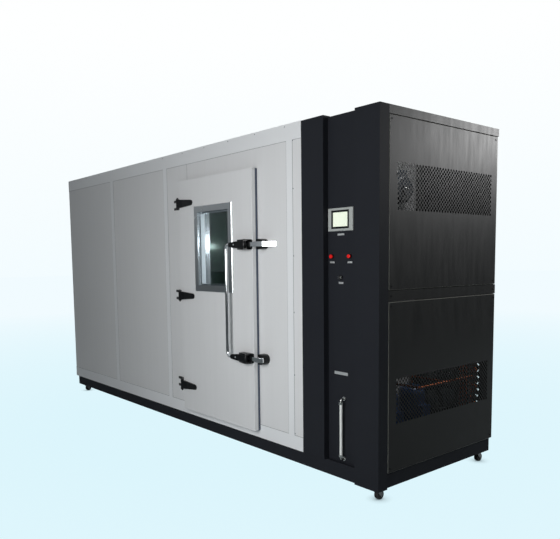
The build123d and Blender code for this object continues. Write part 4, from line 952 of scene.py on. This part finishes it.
@dataclass
class Castors:
    """The four swivel castors, whose shapes all come from the CAD."""

    def build(self) -> None:
        """Dresses the forks and wheels."""
        for name in FRAME["nodes"]:
            if name.startswith("castor_fork"):
                dress(Finishes.GALVANISED, name)
            elif name.startswith("castor_wheel"):
                dress(Finishes.TREAD, name)


@dataclass(frozen=True)
class AreaLamp:
    """A rectangular light: its place, what it points at, its size in metres and its power in watts."""

    name: str
    place: Point
    target: Point
    size: tuple[float, float]
    power: float
    colour: str = "ffffff"

    def build(self) -> None:
        """Adds the light to the scene."""
        light = bpy.data.lights.new(self.name, "AREA")
        light.shape = "RECTANGLE"
        light.size, light.size_y = self.size
        light.energy = self.power
        light.color = linear(self.colour)[:3]
        made = link_object(self.name, light)
        made.location = self.place
        made.rotation_euler = (Vector(self.target) - Vector(self.place)).to_track_quat("-Z", "Y").to_euler()


LAMPS: tuple[AreaLamp, ...] = (
    # Big soft key in front: the door wall is brightest beside the door and falls off to the left.
    AreaLamp("key light", (2.6, -3.9, 1.95), (1.0, -0.6, 0.75), (1.6, 1.6), 92.0),
    # A window beyond the right end: its sheen lies across the upper rear of the dark side.
    AreaLamp("side window light", (5.4, 6.3, 3.7), (2.34, 0.6, 2.2), (2.2, 1.2), 150.0),
    # Keeps the rear readable when the chamber is seen from behind.
    AreaLamp("rear fill light", (-4.2, 4.6, 3.2), (-0.4, 0.7, 1.2), (2.6, 2.0), 150.0),
    # The room's own lamp: pale green light on the lining behind the window.
    AreaLamp("chamber lamp light", (0.68, 0.06, 2.24), (0.68, 0.06, 0.0), (0.12, 0.12), 1.6, "e8fff0"),
    # Thin bright streak on the lining to the left.
    AreaLamp("inner streak", (-2.0, 0.30, 1.70), (-1.3, 0.6, 1.70), (0.50, 0.05), 0.22),
    # Thin bright streak across the window's reveal, with a broad faint glare round it.
    AreaLamp("reveal streak", (1.12, -0.07, 1.69), (0.43, -0.55, 1.69), (0.32, 0.05), 1.1),
    AreaLamp("reveal glare", (1.14, -0.07, 1.6), (0.43, -0.55, 1.6), (0.32, 1.1), 0.45),
    # Inside the cabinet: the motor and the compressors show faintly through the punched panels.
    AreaLamp("motor bay light", (2.24, 0.05, 2.36), (2.0, 0.05, 2.0), (0.5, 0.04), 2.0),
    AreaLamp("plant bay light", (2.20, 0.30, 1.15), (2.10, 0.35, 0.6), (0.08, 0.08), 0.7),
)


@dataclass
class Studio:
    """Camera, pale surroundings and lights."""

    eye: Point = (4.7925, -3.430, 1.532)
    yaw: float = -49.854
    pitch: float = -5.534
    roll: float = -0.637
    focal_px: float = 620.66
    picture: tuple[int, int] = (560, 539)
    centre_px: float = 319.03
    sensor_mm: float = 36.0
    clip_end: float = 200.0
    fill: float = 0.10
    mirror_fill: float = 0.75
    sky_from: float = -0.02
    sky_to: float = 0.32
    sky_shown: tuple[str, str] = ("f3fcff", "feffff")
    sky_felt: tuple[str, str] = ("8d9296", "d5d9dc")
    floor_reach: float = 60.0
    floor_from: float = 1.5
    floor_to: float = 14.0
    floor_contact: float = 0.07
    floor_shown: tuple[str, str] = ("dcf5fc", "f1fbff")
    floor_felt: str = "c9d3d6"

    def camera(self) -> None:
        """Places the camera at the photograph's viewpoint."""
        yaw, pitch, roll = (math.radians(a) for a in (self.yaw, self.pitch, self.roll))
        ahead = Vector((math.sin(yaw) * math.cos(pitch), math.cos(yaw) * math.cos(pitch), math.sin(pitch)))
        right = Vector((math.cos(yaw), -math.sin(yaw), 0.0))
        up = right.cross(ahead)
        across = right * math.cos(roll) + up * math.sin(roll)
        above = up * math.cos(roll) - right * math.sin(roll)
        turn = Matrix((across, above, -ahead)).transposed().to_4x4()
        lens = bpy.data.cameras.new("photo camera")
        lens.sensor_fit = "HORIZONTAL"
        lens.sensor_width = self.sensor_mm
        lens.lens = self.focal_px * self.sensor_mm / self.picture[0]
        lens.shift_y = (self.centre_px - self.picture[1] / 2) / self.picture[0]
        lens.clip_end = self.clip_end
        body = link_object("photo camera", lens)
        body.matrix_world = Matrix.Translation(Vector(self.eye)) @ turn
        bpy.context.scene.camera = body

    def world(self) -> None:
        """Sets a bright backdrop for the camera and a dimmer room for light and reflections."""
        world = bpy.data.worlds.new("studio")
        bpy.context.scene.world = world
        tree = empty_tree(world)
        direction = add_node(tree, "ShaderNodeTexCoord").outputs["Generated"]
        height = add_node(tree, "ShaderNodeSeparateXYZ", {0: direction}).outputs["Z"]
        sky = add_node(tree, "ShaderNodeMapRange",
                       {"Value": height, "From Min": self.sky_from, "From Max": self.sky_to})
        shown, felt = (
            add_node(tree, "ShaderNodeMix",
                     {"Factor": sky.outputs[0], MIX_A: linear(low), MIX_B: linear(high)}, data_type="RGBA")
            for low, high in (self.sky_shown, self.sky_felt))
        path = add_node(tree, "ShaderNodeLightPath")
        power = add_node(tree, "ShaderNodeMapRange",
                         {"Value": path.outputs["Is Glossy Ray"], "To Min": self.fill,
                          "To Max": self.mirror_fill})
        seen = add_node(tree, "ShaderNodeBackground", {"Color": shown.outputs[2], "Strength": 1.0})
        lit = add_node(tree, "ShaderNodeBackground", {"Color": felt.outputs[2], "Strength": power.outputs[0]})
        mixed = add_node(tree, "ShaderNodeMixShader",
                         {0: path.outputs["Is Camera Ray"], 1: lit.outputs[0], 2: seen.outputs[0]})
        add_node(tree, "ShaderNodeOutputWorld", {"Surface": mixed.outputs[0]})

    def floor_material(self) -> bpy.types.Material:
        """Makes the floor glow evenly to the camera, shaded only near contact, and plain matt to light.

        Returns:
            The material.
        """
        material = bpy.data.materials.new("pale studio floor")
        tree = empty_tree(material)
        coords = add_node(tree, "ShaderNodeTexCoord").outputs["Object"]
        distance = add_node(tree, "ShaderNodeVectorMath", {0: coords}, operation="LENGTH")
        far = add_node(tree, "ShaderNodeMapRange", {
            "Value": distance.outputs["Value"], "From Min": self.floor_from, "From Max": self.floor_to})
        close, away = self.floor_shown
        colour = add_node(tree, "ShaderNodeMix",
                          {"Factor": far.outputs[0], MIX_A: linear(close), MIX_B: linear(away)},
                          data_type="RGBA")
        near = add_node(tree, "ShaderNodeAmbientOcclusion",
                        {"Color": colour.outputs[2], "Distance": self.floor_contact})
        shown = add_node(tree, "ShaderNodeEmission", {"Color": near.outputs["Color"], "Strength": 1.0})
        matt = add_node(tree, "ShaderNodeBsdfDiffuse", {"Color": linear(self.floor_felt)})
        path = add_node(tree, "ShaderNodeLightPath")
        mixed = add_node(tree, "ShaderNodeMixShader",
                         {0: path.outputs["Is Camera Ray"], 1: matt.outputs[0], 2: shown.outputs[0]})
        add_node(tree, "ShaderNodeOutputMaterial", {"Surface": mixed.outputs[0]})
        return material

    def floor(self) -> None:
        """Lays a pale floor that is light to the camera and darkens only close under the chamber."""
        mesh = bpy.data.meshes.new("floor")
        reach = self.floor_reach
        mesh.from_pydata([(-reach, -reach, 0), (reach, -reach, 0), (reach, reach, 0), (-reach, reach, 0)], [],
                         [(0, 1, 2, 3)])
        made = link_object("floor", mesh)
        mesh.materials.append(self.floor_material())

    def build(self) -> None:
        """Sets up the camera, world, floor and lights."""
        self.camera()
        self.world()
        self.floor()
        for lamp in LAMPS:
            lamp.build()
        view = bpy.context.scene.view_settings
        view.view_transform = "Standard"
        view.look = "None"


def main() -> None:
    """Builds every sub-assembly in order."""
    logging.basicConfig(level=logging.INFO, format="%(name)s: %(message)s")
    FRAME.update(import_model())
    for part in (Room(), Door(), Latch(), Cabinet(), Controls(), Plant(), Castors(), Studio()):
        part.build()
        LOG.info("built %s", type(part).__name__)


if __name__ == "__main__":
    main()
